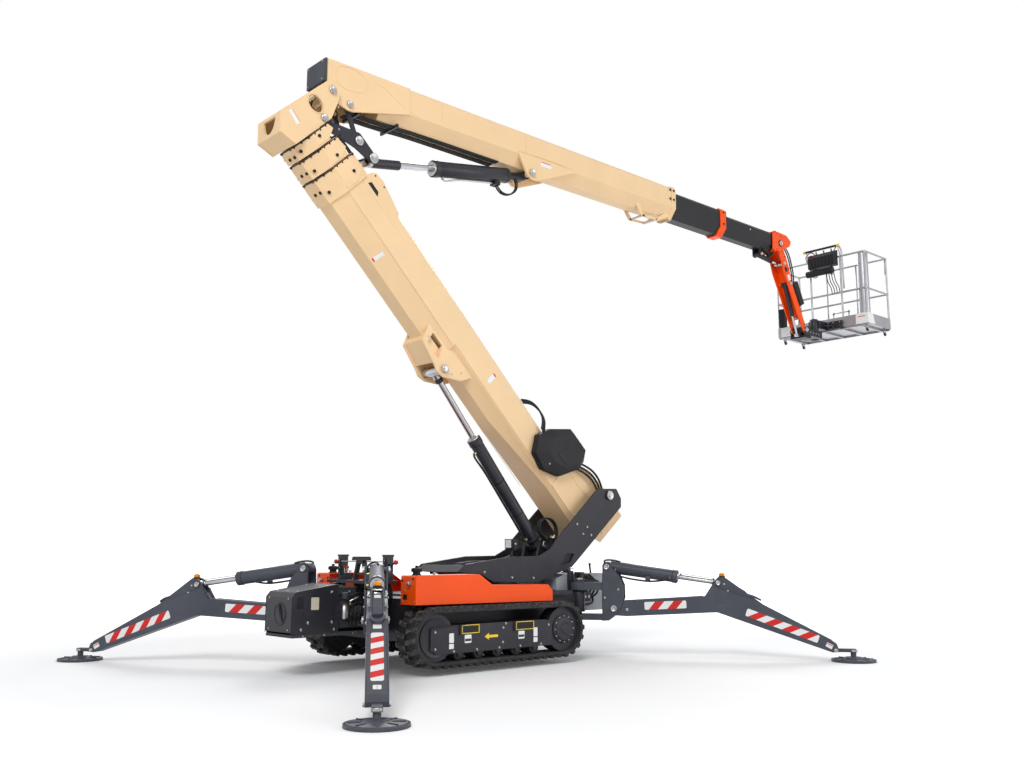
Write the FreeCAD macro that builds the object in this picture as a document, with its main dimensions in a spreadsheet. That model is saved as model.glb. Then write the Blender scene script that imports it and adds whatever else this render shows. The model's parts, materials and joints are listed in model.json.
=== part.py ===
import FreeCAD, Part
import math
import os
import Sketcher

# Compact crawler boom lift standing on its four outriggers.
# Millimetres. +Z up, +X towards the machine's rear, origin on the ground under the slew axis.

SIZES = (
    # Outriggers: swing pins on the chassis and the lengths along one leg.
    ("front_pin_x", -1800), ("front_pin_y", 370), ("front_turn", 124.3),
    ("rear_pin_x", 1100), ("rear_pin_y", 550), ("rear_turn", 54.4),
    ("hinge_x", 440), ("hinge_z", 575), ("lift_x", 360), ("lift_z", 1070),
    ("knee_x", 1690), ("knee_z", 885), ("pad_x", 3200), ("pad_r", 250), ("ball_z", 118),
    ("leg_half", 92), ("leg_barrel_r", 74), ("leg_rod_r", 28),
    # Crawler tracks.
    ("track_front", -1800), ("track_rear", 680), ("track_low", 70), ("track_top", 693),
    ("track_out", 1055), ("track_wide", 340), ("lug_deep", 28), ("belt_thick", 38),
    # Turret and the main boom's foot pin.
    ("cover_in", 692), ("cover_out", 950), ("bridge_z", 920), ("post_x", -1694),
    ("post_y", 433), ("post_top", 1222), ("bed_top", 432),
    ("swing_pin_r", 38), ("leg_pin_r", 28), ("lift_pin_r", 25), ("luff_pin_r", 32),
    ("foot_pin_r", 45), ("elbow_pin_r", 40), ("lever_pin_r", 32), ("link_pin_r", 30),
    ("arm_cyl_pin_r", 36), ("jib_pin_r", 32), ("level_pin_r", 25), ("small_pin_r", 18), ("turn_pin_r", 40),
    ("ring_r", 430), ("turret_low", 869), ("cheek_in", 396), ("cheek_out", 420),
    ("foot_x", 1820), ("foot_z", 1976), ("luff_rest", 45.5),
    ("luff_base_x", 898), ("luff_base_z", 1334), ("luff_u", 2820), ("luff_n", -874),
    ("luff_barrel_r", 80), ("luff_rod_r", 38), ("luff_barrel_len", 1655),
    # Main boom, measured along the boom from its foot pin.
    ("head_reach", 6080), ("boom_end_back", 660), ("boom_top", -185), ("boom_side", 250),
    ("boom_edge", -560), ("boom_belly", -705), ("boom_deep", -800), ("nest", 22), ("skin", 8),
    ("slope_from", 700), ("slope_to", 1900), ("slope_rise", 95),
    ("second_top", -305), ("third_top", -395), ("last_top", -440),
    ("second_end_back", 420), ("third_end_back", 245),
    # Second boom, measured from the elbow pin.
    ("arm_top", 400), ("arm_belly", -80), ("arm_edge", 70), ("arm_side", 195),
        ("jib_pin_x", 9012), ("jib_pin_z", 142), ("arm_end_back", 2902), ("arm_mid_back", 1592),
    ("arm_inner_back", 182), ("jib_cyl_back", 467), ("jib_drop", 63), ("jib_len", 1576),
    ("level_cyl_back", 856),
    # Elbow linkage.
    ("lever_back", 186), ("lever_n", -314), ("link_low_back", 614), ("link_low_n", -18),
    ("eye_back", 865), ("eye_n", 19), ("link_top_x", 260), ("link_top_z", -71),
    ("arm_cyl_x", 3101), ("arm_cyl_z", -142), ("arm_barrel_len", 1528),
    ("arm_barrel_r", 98), ("arm_rod_r", 43),
    # Basket, measured from the levelling pin.
    ("turn_out", 504), ("basket_out", 761), ("carrier_low", -90), ("carrier_top", 35),
    ("basket_deep", 800), ("basket_wide", 1800), ("basket_lift", 114), ("basket_high", 1320),
    ("rail_r", 17),
    # Clearances: running fit of a pin or rod, and a seat between two pieces.
    ("fit", 0.1), ("seat", 0.3),
)

doc = FreeCAD.newDocument("crawler_boom_lift")
sheet = doc.addObject("Spreadsheet::Sheet", "dims")
for row, (name, number) in enumerate(SIZES, start=1):
    sheet.set(f"A{row}", name)
    sheet.set(f"B{row}", str(number))
    sheet.setAlias(f"B{row}", name)
doc.recompute()

V = FreeCAD.Vector


class Size:
    """A number with the expression that gives it from the sheet."""

    def __init__(self, value, text):
        self.value = value
        self.text = text

    def __add__(self, other):
        other = size(other)
        return Size(self.value + other.value, f"({self.text} + {other.text})")

    def __sub__(self, other):
        other = size(other)
        return Size(self.value - other.value, f"({self.text} - {other.text})")

    def __mul__(self, other):
        other = size(other)
        return Size(self.value * other.value, f"({self.text} * {other.text})")

    def __truediv__(self, other):
        other = size(other)
        return Size(self.value / other.value, f"({self.text} / {other.text})")

    def __radd__(self, other):
        return size(other) + self

    def __rsub__(self, other):
        return size(other) - self

    def __rmul__(self, other):
        return size(other) * self

    def __neg__(self):
        return Size(-self.value, f"(0 - {self.text})")


def size(number):
    """Wrap a plain number."""
    if isinstance(number, Size):
        return number
    return Size(float(number), f"({float(number):.6f})")


def sine(angle):
    return Size(math.sin(math.radians(angle.value)), f"sin({angle.text})")


def cosine(angle):
    return Size(math.cos(math.radians(angle.value)), f"cos({angle.text})")


def heading(dx, dz):
    """Turn about Y that points +X along dx, dz."""
    return Size(math.degrees(-math.atan2(dz.value, dx.value)), f"(0 deg - atan2({dz.text}; {dx.text}))")


class Dims:
    """The sheet's sizes by name."""


d = Dims()
for name, number in SIZES:
    setattr(d, name, Size(number, f"dims.{name}"))


def bind(item, prop, amount):
    item.setExpression(prop, size(amount).text)


def put(item, base, turn="rotationz(0)"):
    """Place an object at base with a turn given as rotation functions."""
    x, y, z = (size(value).text for value in base)
    item.setExpression("Placement", f"placement(vector({x}; {y}; {z}); {turn})")
    return item


PLANES = {"XY": 3, "XZ": 4, "YZ": 5}


def prism(name, plane, points, low, high):
    """A closed straight-sided outline padded between two offsets of its plane."""
    points = [(size(a), size(b)) for a, b in points]
    low, high = size(low), size(high)
    body = doc.addObject("PartDesign::Body", name)
    sketch = body.newObject("Sketcher::SketchObject", f"{name}_outline")
    sketch.AttachmentSupport = [(body.Origin.OriginFeatures[PLANES[plane]], "")]
    sketch.MapMode = "FlatFace"
    bind(sketch, "AttachmentOffset.Base.z", -high if plane == "XZ" else low)
    spots = [V(a.value, b.value, 0) for a, b in points]
    lines = [Part.LineSegment(p, q) for p, q in zip(spots, spots[1:] + spots[:1])]
    sketch.addGeometry(lines, False)
    count = len(points)
    for i, (a, b) in enumerate(points):
        sketch.addConstraint(Sketcher.Constraint("Coincident", i, 1, (i - 1) % count, 2))
        for kind, amount in (("DistanceX", a), ("DistanceY", b)):
            at = sketch.addConstraint(Sketcher.Constraint(kind, -1, 1, i, 1, amount.value))
            sketch.setExpression(f"Constraints[{at}]", amount.text)
    pad = body.newObject("PartDesign::Pad", f"{name}_pad")
    pad.Profile = sketch
    bind(pad, "Length", high - low)
    sketch.Visibility = False
    return body


def box(name, x0, x1, y0, y1, z0, z1):
    item = doc.addObject("Part::Box", name)
    for prop, a, b in (("Length", x0, x1), ("Width", y0, y1), ("Height", z0, z1)):
        bind(item, prop, size(b) - a)
    for prop, a in (("x", x0), ("y", y0), ("z", z0)):
        bind(item, f"Placement.Base.{prop}", a)
    return item


SPINS = {"X": "rotationy(90)", "Y": "rotationx(-90)", "Z": "rotationz(0)"}


def drum(name, axis, radius, centre, low, high):
    """A cylinder along axis from low to high; centre holds the other two coordinates."""
    item = doc.addObject("Part::Cylinder", name)
    bind(item, "Radius", radius)
    bind(item, "Height", size(high) - low)
    base = list(centre)
    base.insert("XYZ".index(axis), low)
    return put(item, base, SPINS[axis])


def tie(name, radius, start, end):
    """A straight round bar between two points."""
    start = [size(value) for value in start]
    end = [size(value) for value in end]
    gap = [b - a for a, b in zip(start, end)]
    flat = f"sqrt(pow({gap[0].text}; 2) + pow({gap[1].text}; 2))"
    item = doc.addObject("Part::Cylinder", name)
    bind(item, "Radius", radius)
    item.setExpression("Height", f"sqrt(pow({flat}; 2) + pow({gap[2].text}; 2))")
    turn = f"rotationz(atan2({gap[1].text}; {gap[0].text})) * rotationy(atan2({flat}; {gap[2].text}))"
    return put(item, start, turn)


def fuse(name, parts):
    item = doc.addObject("Part::MultiFuse", name)
    item.Shapes = list(parts)
    return item


def carve(name, base, tools):
    item = doc.addObject("Part::Cut", name)
    item.Base = base
    item.Tool = tools[0] if len(tools) == 1 else fuse(f"{name}_tools", tools)
    return item


def group(name, parts):
    item = doc.addObject("Part::Compound", name)
    item.Links = list(parts)
    return item


NODES = []


def node(name, item, base=None, turn="rotationz(0)"):
    """Name a finished sub-part and set where it sits."""
    item.Label = name
    if base is not None:
        put(item, base, turn)
    NODES.append(item)
    return item


def eye(name, radius, half):
    """A pin eye along Y at the local origin; its bore comes with the cut."""
    return drum(name, "Y", radius, (0, 0), -half, half)


def tube_section(name, side, top, edge, belly, start, end):
    """A boom tube along -X with its lower corners sloped in."""
    flat = side * 0.45
    outline = (
        (-side, top - 40), (-side + 35, top), (side - 35, top), (side, top - 40),
        (side, edge), (flat, belly), (-flat, belly), (-side, edge),
    )
    return prism(name, "YZ", outline, start, end)


# Joint points worked out from the sizes.
up_x, up_z = -cosine(d.luff_rest), sine(d.luff_rest)
off_x, off_z = sine(d.luff_rest), cosine(d.luff_rest)


def on_boom(along, off):
    """World X and Z of a point given along the main boom and square to it."""
    return d.foot_x + along * up_x + off * off_x, d.foot_z + along * up_z + off * off_z


# Ends and pins that keep their distance from the elbow or jib pin.
boom_end = d.head_reach - d.boom_end_back
second_end = d.head_reach - d.second_end_back
third_end = d.head_reach - d.third_end_back
lever_u = d.head_reach - d.lever_back
link_low_u = d.head_reach - d.link_low_back
eye_u = d.head_reach - d.eye_back
arm_end = d.jib_pin_x - d.arm_end_back
arm_mid_end = d.jib_pin_x - d.arm_mid_back
arm_inner_end = d.jib_pin_x - d.arm_inner_back
elbow_x, elbow_z = on_boom(d.head_reach, size(0))
luff_top_x, luff_top_z = on_boom(d.luff_u, d.luff_n)
eye_x, eye_z = on_boom(eye_u, d.eye_n)
low_link_x, low_link_z = on_boom(link_low_u, d.link_low_n)
lever_x, lever_z = on_boom(lever_u, d.lever_n)
MAIN = ((d.foot_x, 0, d.foot_z), f"rotationy({d.luff_rest.text})")
ARM = ((elbow_x, 0, elbow_z), "rotationz(0)")
jib_x, jib_z = elbow_x + d.jib_pin_x, elbow_z + d.jib_pin_z
JIB = ((jib_x, 0, jib_z), f"rotationy({d.jib_drop.text})")
level_x = jib_x + d.jib_len * cosine(d.jib_drop)
level_z = jib_z - d.jib_len * sine(d.jib_drop)
turn_x = level_x + d.turn_out
carrier_low, carrier_top = level_z + d.carrier_low, level_z + d.carrier_top

# Chassis: hull, deck, swing posts, cross beams and slew ring.
CORNERS = (
    # name, pin x, pin y, turn about Z
    ("near_front", d.front_pin_x, -d.front_pin_y, -d.front_turn),
    ("far_front", d.front_pin_x, d.front_pin_y, d.front_turn),
    ("near_rear", d.rear_pin_x, -d.rear_pin_y, -d.rear_turn),
    ("far_rear", d.rear_pin_x, d.rear_pin_y, d.rear_turn),
)
frame_parts = [
    box("hull", -1650, 850, -560, 560, 330, 770),
    box("deck", -1300, 850, -d.cover_in + d.seat, d.cover_in - d.seat, 745, 790),
    drum("slew_ring", "Z", d.ring_r, (0, 0), 780, d.turret_low - d.seat),
    box("front_bracket", -1800, -1600, -370, 370, 540, 750),
    box("rear_bracket", 800, 1100, -550, 550, 540, 750),
    box("cross_front", -1300, -1080, -765, 765, 330, 450),
    box("cross_rear", 80, 300, -765, 765, 330, 450),
]
for corner, x, y, turn in CORNERS:
    frame_parts.append(drum(f"post_{corner}", "Z", 75, (x, y), 525, 765))
    frame_parts.append(drum(f"swing_pin_{corner}", "Z", d.swing_pin_r, (x, y), 405, 915))
hollow = box("hull_hollow", -1630, 830, -540, 540, 350, 735)
ring_hollow = drum("ring_hollow", "Z", 330, (0, 0), 700, 900)
frame = carve("chassis_cut", fuse("chassis_sum", frame_parts), [hollow, ring_hollow])
node("chassis_frame", frame)

# Tracks: a rounded loop with lugs, and the side frame it runs on.
half_high = (d.track_top - d.track_low) / 2
mid_high = (d.track_top + d.track_low) / 2
front_wheel = d.track_front + half_high
rear_wheel = d.track_rear - half_high


def loop(name, radius, y0, y1):
    """A rounded solid about the two wheel centres."""
    return fuse(name, [
        drum(f"{name}_front", "Y", radius, (front_wheel, mid_high), y0, y1),
        drum(f"{name}_rear", "Y", radius, (rear_wheel, mid_high), y0, y1),
        box(f"{name}_middle", front_wheel, rear_wheel, y0, y1, mid_high - radius, mid_high + radius),
    ])


LUGS = 17
BEND = 8
for side, sign in (("near", -1), ("far", 1)):
    y0, y1 = (-d.track_out, -d.track_out + d.track_wide) if sign < 0 else (
        d.track_out - d.track_wide, d.track_out)
    outer = half_high - d.lug_deep
    shoes = [loop(f"belt_{side}", outer, y0, y1)]
    pitch = (rear_wheel - front_wheel) / LUGS
    for i in range(LUGS + 1):
        x = front_wheel + pitch * i
        shoes.append(box(f"lug_low_{side}", x - 24, x + 24, y0, y1, d.track_low, d.track_low + 60))
        shoes.append(box(f"lug_high_{side}", x - 24, x + 24, y0, y1, d.track_top - 60, d.track_top))
    for end, x in ((-1, front_wheel), (1, rear_wheel)):
        for i in range(1, BEND):
            angle = 180.0 * i / BEND * end
            lug = box(f"lug_bend_{side}", -24, 24, y0, y1, half_high - 60, half_high)
            swing = f"rotationy({angle:.3f})"
            lug.setExpression("Placement", f"placement(vector({x.text}; 0; {mid_high.text}); {swing})"
                              f" * placement(vector(-24; {y0.text}; {(half_high - 60).text}); rotationz(0))")
            shoes.append(lug)
    cut = loop(f"belt_hollow_{side}", outer - d.belt_thick, y0 - 5, y1 + 5)
    node(f"track_{side}", carve(f"track_{side}_cut", fuse(f"track_{side}_sum", shoes), [cut]))

    inner, face = (-765, -1010) if sign < 0 else (765, 1010)
    a, b = min(inner, face), max(inner, face)
    wheel = outer - d.belt_thick - d.seat
    frame_side = [
        prism(f"side_plate_{side}", "XZ", (
            (-1560, 260), (-1480, 215), (180, 215), (180, 480), (60, 500), (-1100, 500), (-1560, 470),
        ), a, b),
        drum(f"idler_{side}", "Y", wheel, (front_wheel, mid_high), a + 20, b - 20),
        drum(f"sprocket_{side}", "Y", wheel, (rear_wheel, mid_high), a + 20, b - 60),
        drum(f"motor_{side}", "Y", 130, (rear_wheel, mid_high), a, b),
        box(f"motor_arm_{side}", 100, rear_wheel, a + 40, b - 40, 300, 470),
    ]
    for i in range(5):
        x = front_wheel + 330 + 270 * i
        frame_side.append(drum(f"roller_{side}", "Y", 62, (x, 202), a + 30, b - 30))
    node(f"track_frame_{side}", fuse(f"track_frame_{side}_sum", frame_side))

    # Long side cover above the track, open towards the chassis.
    low_y, high_y = (-d.cover_out, -d.cover_in) if sign < 0 else (d.cover_in, d.cover_out)
    rim = (
        (-1710, 716), (-1710, 1000), (-1695, 1014), (-848, 1014), (-655, 892),
        (180, 884), (252, 812), (252, 700),
    )
    inside = (
        (-1700, 726), (-1700, 1004), (-852, 1004), (-658, 882), (176, 874), (242, 808), (242, 710),
    )
    trim = (low_y + 10, high_y + 5) if sign < 0 else (low_y - 5, high_y - 10)
    cover = carve(f"cover_{side}", prism(f"cover_rim_{side}", "XZ", rim, low_y, high_y),
                  [prism(f"cover_void_{side}", "XZ", inside, *trim)])
    node(f"side_cover_{side}", cover)

# Engine under its hood at the front.
hood = prism("hood_rim", "XZ", (
    (-2715, d.bed_top + d.seat), (-2735, 465), (-2735, 800), (-2690, 850), (-2190, 922),
    (-2190, d.bed_top + d.seat),
), -262, 262)
hood_void = prism("hood_void", "XZ", (
    (-2725, 425), (-2725, 796), (-2684, 840), (-2180, 912), (-2180, 425),
), -252, 252)
node("engine_hood", carve("engine_hood_cut", hood, [hood_void]))
engine_parts = [
    box("engine_core", -2660, -1860, -205, 205, 470, 790),
    box("engine_bed", -2725, -1650 - d.seat, -262, 262, d.bed_top - 30, d.bed_top),
    box("engine_mount", -2500, -1900, -120, 120, d.bed_top - 5, 480),
    box("engine_head", -2150, -1900, -150, 150, 780, 880),
]
node("engine_block", fuse("engine_sum", engine_parts))

# Control posts with their levers on a bridge plate, and the boom's travel rest between them.
stand_parts = [
    box("bridge_plate", -1870, -1600, -480, 480, d.bridge_z, d.bridge_z + 30),
    box("bridge_wall", -1630, -1600, -300, 300, 770 + d.seat, d.bridge_z + 5),
    prism("rest_legs", "YZ", (
        (-135, d.bridge_z + 25), (-62, 1165), (62, 1165), (135, d.bridge_z + 25), (100, d.bridge_z + 25),
        (42, 1125), (-42, 1125), (-100, d.bridge_z + 25)), -1765, -1715),
    box("rest_top", -1795, -1685, -105, 105, 1160, 1190),
]
for label, side in (("near", -1), ("far", 1)):
    y = side * d.post_y
    stand_parts.append(box(f"post_{label}", d.post_x - 40, d.post_x + 40, y - 40, y + 40,
                           d.bridge_z + 25, d.post_top))
    stand_parts.append(tie(f"lever_{label}", 9, (d.post_x, y, 1095), (d.post_x, side * 560, 1138)))
node("control_posts", fuse("control_sum", stand_parts))

# Outriggers: yoke, leg, pad and lift cylinder, alike at all four corners.
lift_turn = heading(d.knee_x - d.lift_x, d.knee_z - d.lift_z)
YOKE = (
    (300, 520), (300, 780), (310, 1060), (330, 1110), (390, 1110), (430, 1050), (510, 970),
    (560, 850), (565, 700), (530, 590), (460, 490), (380, 430), (300, 425),
)
LEG = (
    (d.hinge_x - 62, 520), (d.hinge_x - 62, 620), (d.hinge_x + 40, 655), (1540, 725),
    (1600, 820), (1610, 845), (2060, 700), (3010, 205), (3030, 150), (3030, 110),
    (2960, 105), (1670, 540), (1560, 535), (600, 482), (d.hinge_x - 20, 490),
)
for corner, x, y, turn in CORNERS:
    spin = f"rotationz({turn.text})"
    base = (x, y, 0)
    yoke = fuse(f"yoke_{corner}_sum", [
        prism(f"yoke_plate_a_{corner}", "XZ", YOKE, 100, 116),
        prism(f"yoke_plate_b_{corner}", "XZ", YOKE, -116, -100),
        box(f"arm_high_{corner}", 0, 318, -110, 110, 790, 880),
        drum(f"arm_high_end_{corner}", "Z", 100, (0, 0), 790, 880),
        box(f"arm_low_{corner}", 0, 385, -110, 110, 432, 500),
        drum(f"arm_low_end_{corner}", "Z", 90, (0, 0), 432, 500),
        box(f"yoke_back_{corner}", 300, 318, -110, 110, 500, 790),
        drum(f"lift_pin_{corner}", "Y", d.lift_pin_r, (d.lift_x, d.lift_z), -124, 124),
        drum(f"leg_pin_{corner}", "Y", d.leg_pin_r, (d.hinge_x, d.hinge_z), -124, 124),
    ])
    bore = [drum(f"swing_bore_{corner}", "Z", d.swing_pin_r + d.fit, (0, 0), 400, 920)]
    node(f"yoke_{corner}", carve(f"yoke_{corner}_cut", yoke, bore), base, spin)

    leg_body = prism(f"leg_body_{corner}", "XZ", LEG, -d.leg_half, d.leg_half)
    lugs = [
        prism(f"knee_plate_a_{corner}", "XZ", (
            (1510, 700), (1655, 915), (1690, 950), (1765, 950), (2330, 545), (2200, 520)), 46, 62),
        prism(f"knee_plate_b_{corner}", "XZ", (
            (1510, 700), (1655, 915), (1690, 950), (1765, 950), (2330, 545), (2200, 520)), -62, -46),
        drum(f"knee_head_a_{corner}", "Y", 24, (d.knee_x, d.knee_z), 50, 72),
        drum(f"knee_head_b_{corner}", "Y", 24, (d.knee_x, d.knee_z), -72, -50),
    ]
    slot = box(f"knee_slot_{corner}", 1500, 1780, -45, 45, 790, 960)
    root = drum(f"leg_bore_{corner}", "Y", d.leg_pin_r + d.fit, (d.hinge_x, d.hinge_z), -100, 100)
    hole = box(f"leg_void_{corner}", 640, 1500, -d.leg_half + 8, d.leg_half - 8, 545, 640)
    leg = fuse(f"leg_{corner}_sum", [carve(f"leg_{corner}_cut", leg_body, [slot, root, hole])] + lugs)
    node(f"leg_{corner}", leg, base, spin)

    pad = fuse(f"pad_{corner}_sum", [
        drum(f"pad_disc_{corner}", "Z", d.pad_r, (d.pad_x, 0), 0, 26),
        drum(f"pad_hub_{corner}", "Z", 90, (d.pad_x, 0), 20, 52),
        drum(f"pad_stem_{corner}", "Z", 32, (d.pad_x, 0), 40, d.ball_z + 12),
        box(f"pad_tongue_{corner}", 3030 + d.seat, d.pad_x + 28, -40, 40, 106, 142),
    ])
    node(f"pad_{corner}", pad, base, spin)

    cyl_turn = f"{spin} * rotationy({lift_turn.text})"
    cos_t, sin_t = cosine(turn), sine(turn)
    barrel = fuse(f"lift_barrel_{corner}_sum", [
        eye(f"lift_eye_{corner}", 58, 70),
        drum(f"lift_tube_{corner}", "X", d.leg_barrel_r, (0, 0), 40, 850),
        drum(f"lift_gland_{corner}", "X", d.leg_barrel_r + 6, (0, 0), 800, 858),
    ])
    barrel_cut = [
        drum(f"lift_bore_{corner}", "X", d.leg_rod_r + d.fit, (0, 0), 90, 900),
        drum(f"lift_eye_bore_{corner}", "Y", d.lift_pin_r + d.fit, (0, 0), -90, 90),
    ]
    node(f"lift_barrel_{corner}", carve(f"lift_barrel_{corner}_cut", barrel, barrel_cut),
         (x + d.lift_x * cos_t, y + d.lift_x * sin_t, d.lift_z), cyl_turn)
    rod = fuse(f"lift_rod_{corner}_sum", [
        eye(f"rod_eye_{corner}", 42, 38),
        drum(f"rod_bar_{corner}", "X", d.leg_rod_r, (0, 0), -740, -20),
    ])
    node(f"lift_rod_{corner}", rod,
         (x + d.knee_x * cos_t, y + d.knee_x * sin_t, d.knee_z), cyl_turn)

# Turret: two cheeks, pan, ribs and pins.
CHEEK = (
    (-706, 1026), (-608, 1100), (74, 1185), (563, 1191), (749, 1275), (849, 1384), (1614, 2046),
    (1972, 2060), (2058, 1938), (2055, 1832), (1117, 1062), (810, 975), (590, 908), (530, 884),
    (-190, 905), (-378, 1000),
)
slot_hole = ((1016, 1228), (1163, 1228), (1093, 1118), (924, 1088))
turret_parts = []
for label, y0, y1 in (("near", -d.cheek_out, -d.cheek_in), ("far", d.cheek_in, d.cheek_out)):
    cheek = prism(f"cheek_{label}", "XZ", CHEEK, y0, y1)
    window = prism(f"cheek_window_{label}", "XZ", slot_hole, y0 - 5, y1 + 5)
    turret_parts.append(carve(f"cheek_cut_{label}", cheek, [window]))
turret_parts += [
    prism("pan", "XZ", ((-706, 1026), (-608, 1100), (-560, 1100), (-200, 935), (530, 912), (530, 884),
                        (-190, 905), (-378, 1000)), -400, 400),
    drum("turret_ring", "Z", d.ring_r - 15, (0, 0), d.turret_low, 920),
    box("back_rib", 765, 795, -400, 400, 985, 1045),
    prism("luff_ear_near", "XZ", ((700, 900), (1060, 1010), (960, 1390), (836, 1390)), -150, -112),
    prism("luff_ear_far", "XZ", ((700, 900), (1060, 1010), (960, 1390), (836, 1390)), 112, 150),
    box("ear_tie", 640, 820, -400, 400, 965, 1030),
    drum("luff_base_pin_near", "Y", 38, (d.luff_base_x, d.luff_base_z), -165, -112),
    drum("luff_base_pin_far", "Y", 38, (d.luff_base_x, d.luff_base_z), 112, 165),
    drum("foot_pin", "Y", d.foot_pin_r, (d.foot_x, d.foot_z), -438, 438),
]
node("turret", fuse("turret_sum", turret_parts))

# Work light on the turret's front edge.
node("work_light", fuse("work_light_sum", [
    box("light_case", 60, 150, -470, -350, 1290, 1400),
    box("light_arm", 90, 120, -418, -402, 1185.6 + d.seat, 1300),
]))

# Luff cylinder.
luff_turn = heading(luff_top_x - d.luff_base_x, luff_top_z - d.luff_base_z)
luff_barrel = fuse("luff_barrel_sum", [
    eye("luff_base_eye", 75, 105),
    drum("luff_tube", "X", d.luff_barrel_r, (0, 0), 50, d.luff_barrel_len),
])
node("luff_barrel", carve("luff_barrel_cut", luff_barrel, [
    drum("luff_bore", "X", d.luff_rod_r + d.fit, (0, 0), 110, d.luff_barrel_len + 20),
]), (d.luff_base_x, 0, d.luff_base_z), f"rotationy({luff_turn.text})")
luff_rod = fuse("luff_rod_sum", [
    drum("luff_top_eye", "Y", 62, (0, 0), -152, 152),
    drum("luff_bar", "X", d.luff_rod_r, (0, 0), -1790, -40),
    drum("luff_neck", "X", 48, (0, 0), -150, -30),
])
node("luff_rod", carve("luff_rod_cut", luff_rod, [
    drum("luff_top_bore", "Y", d.luff_pin_r + d.fit, (0, 0), -160, 160)]),
     (luff_top_x, 0, luff_top_z), f"rotationy({luff_turn.text})")

# Main boom: outer tube with tail, collar, cylinder bracket; three telescoping sections.
def along(start, end):
    """Order two distances along the boom as low and high X."""
    return -size(end), -size(start)


def slope_cut(name, step):
    """The wedge that slopes the belly up towards the foot."""
    low = d.boom_belly + d.nest * step
    return prism(name, "XZ", (
        (-d.slope_to, low), (-d.slope_from, low + d.slope_rise), (300, low + d.slope_rise),
        (300, -900), (-d.slope_to, -900)), -300, 300)


outer = tube_section("boom_tube", d.boom_side, d.boom_top, d.boom_edge, d.boom_belly,
                     *along(-200, boom_end))
collar = tube_section("boom_collar", d.boom_side + 16, -248, d.boom_edge - 60, d.boom_deep - 20,
                      *along(boom_end - 300, boom_end))
deep = tube_section("boom_deep_part", d.boom_side, -400, d.boom_edge - 40, d.boom_deep,
                    *along(2950, boom_end))
WEDGE = (
    (-d.slope_to, d.boom_belly), (-d.slope_from, d.boom_belly + d.slope_rise + 12),
    (300, d.boom_belly + d.slope_rise + 12), (300, -900), (-d.slope_to, -900),
)
void_sides = d.boom_side - d.skin
void = carve("boom_void", fuse("boom_void_sum", [
    tube_section("boom_void_foot", void_sides, d.boom_top - d.skin, d.boom_edge, d.boom_belly + d.skin,
                 *along(-190, 3000)),
    tube_section("boom_void_deep", void_sides, d.boom_top - d.skin, d.boom_edge - 40,
                 d.boom_deep + d.skin, *along(2960, boom_end - 300)),
    tube_section("boom_void_mouth", d.boom_side - d.nest + d.seat, d.second_top + d.seat,
                 d.boom_edge - d.seat, d.boom_belly + d.nest - d.seat, *along(boom_end - 320, boom_end + 20)),
]), [prism("boom_void_wedge", "XZ", WEDGE, -300, 300)])
tail_plates = []
for label, y0, y1 in (("near", -258, -238), ("far", 238, 258)):
    tail_plates.append(prism(f"tail_{label}", "XZ", (
        (-700, d.boom_top - 15), (-420, 60), (-60, 130), (480, 130), (430, -420), (100, -560),
        (-700, -560)), y0, y1))
bracket_plates = []
for label, y0, y1 in (("near", -200, -172), ("far", 172, 200)):
    bracket_plates.append(prism(f"luff_bracket_{label}", "XZ", (
        (-3340, -650), (-3250, -880), (-2950, -930), (-2850, -960), (-2760, -930), (-2560, -760),
        (-2480, -590)), y0, y1))
    bracket_plates.append(drum(f"luff_top_boss_{label}", "Y", 34, (-d.luff_u, d.luff_n), y0 - 16 if y0 < 0
                               else y0, y1 if y0 < 0 else y1 + 16))
boom_cuts = [
    void,
    slope_cut("belly_slope", 0),
    box("boom_nose_cut", -boom_end - 10, -boom_end + 520, -300, 300, -248, 0),
]
boom_shell = carve("boom_shell", fuse("boom_sum", [outer, deep, collar] + tail_plates + bracket_plates + [
    prism("bracket_web", "XZ", ((-3300, -700), (-3260, -870), (-2960, -920), (-2960, -700)), -185, 185),
]), boom_cuts)
boom_all = fuse("boom_all", [boom_shell,
    drum("foot_boss", "Y", 85, (0, 0), -380, 380),
    drum("luff_top_pin", "Y", d.luff_pin_r, (-d.luff_u, d.luff_n), -222, 222),
])
foot_bore = drum("foot_bore", "Y", d.foot_pin_r + d.fit, (0, 0), -400, 400)
node("boom_section_1", carve("boom_bored", boom_all, [foot_bore]), *MAIN)

SECTIONS = (
    # name, tube start, tube end, tube top, next section's top, ring length, nesting step
    ("boom_section_2", 520, second_end, d.second_top, d.third_top, 228, 1),
    ("boom_section_3", 780, third_end, d.third_top, d.last_top, 160, 2),
)
for name, start, end, top, next_top, ring_len, step in SECTIONS:
    inset = d.nest * step
    tube = tube_section(f"{name}_tube", d.boom_side - inset, top, d.boom_edge, d.boom_belly + inset,
                        *along(start, end))
    ring = tube_section(f"{name}_ring", d.boom_side + 14, top + 16, d.boom_edge - 60,
                        d.boom_deep - 20, *along(end - ring_len, end))
    core = tube_section(f"{name}_core", d.boom_side - inset - d.skin, top - d.skin, d.boom_edge,
                        d.boom_belly + inset + d.skin, *along(start - 20, end - ring_len))
    next_in = inset + d.nest - d.seat
    mouth = tube_section(f"{name}_mouth", d.boom_side - next_in, next_top + d.seat, d.boom_edge - d.seat,
                         d.boom_belly + next_in, *along(end - ring_len - 20, end + 20))
    shell = carve(f"{name}_shell", fuse(f"{name}_sum", [tube, ring]), [core, mouth])
    node(name, carve(f"{name}_cut", shell, [slope_cut(f"{name}_slope", step)]), *MAIN)

inset = d.nest * 3
last = tube_section("boom_last", d.boom_side - inset, d.last_top, d.boom_edge, d.boom_belly + inset,
                    *along(1040, d.head_reach - 230))
last_core = tube_section("boom_last_core", d.boom_side - inset - d.skin, d.last_top - d.skin,
                         d.boom_edge, d.boom_belly + inset + d.skin, *along(1020, d.head_reach - 240))


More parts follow.
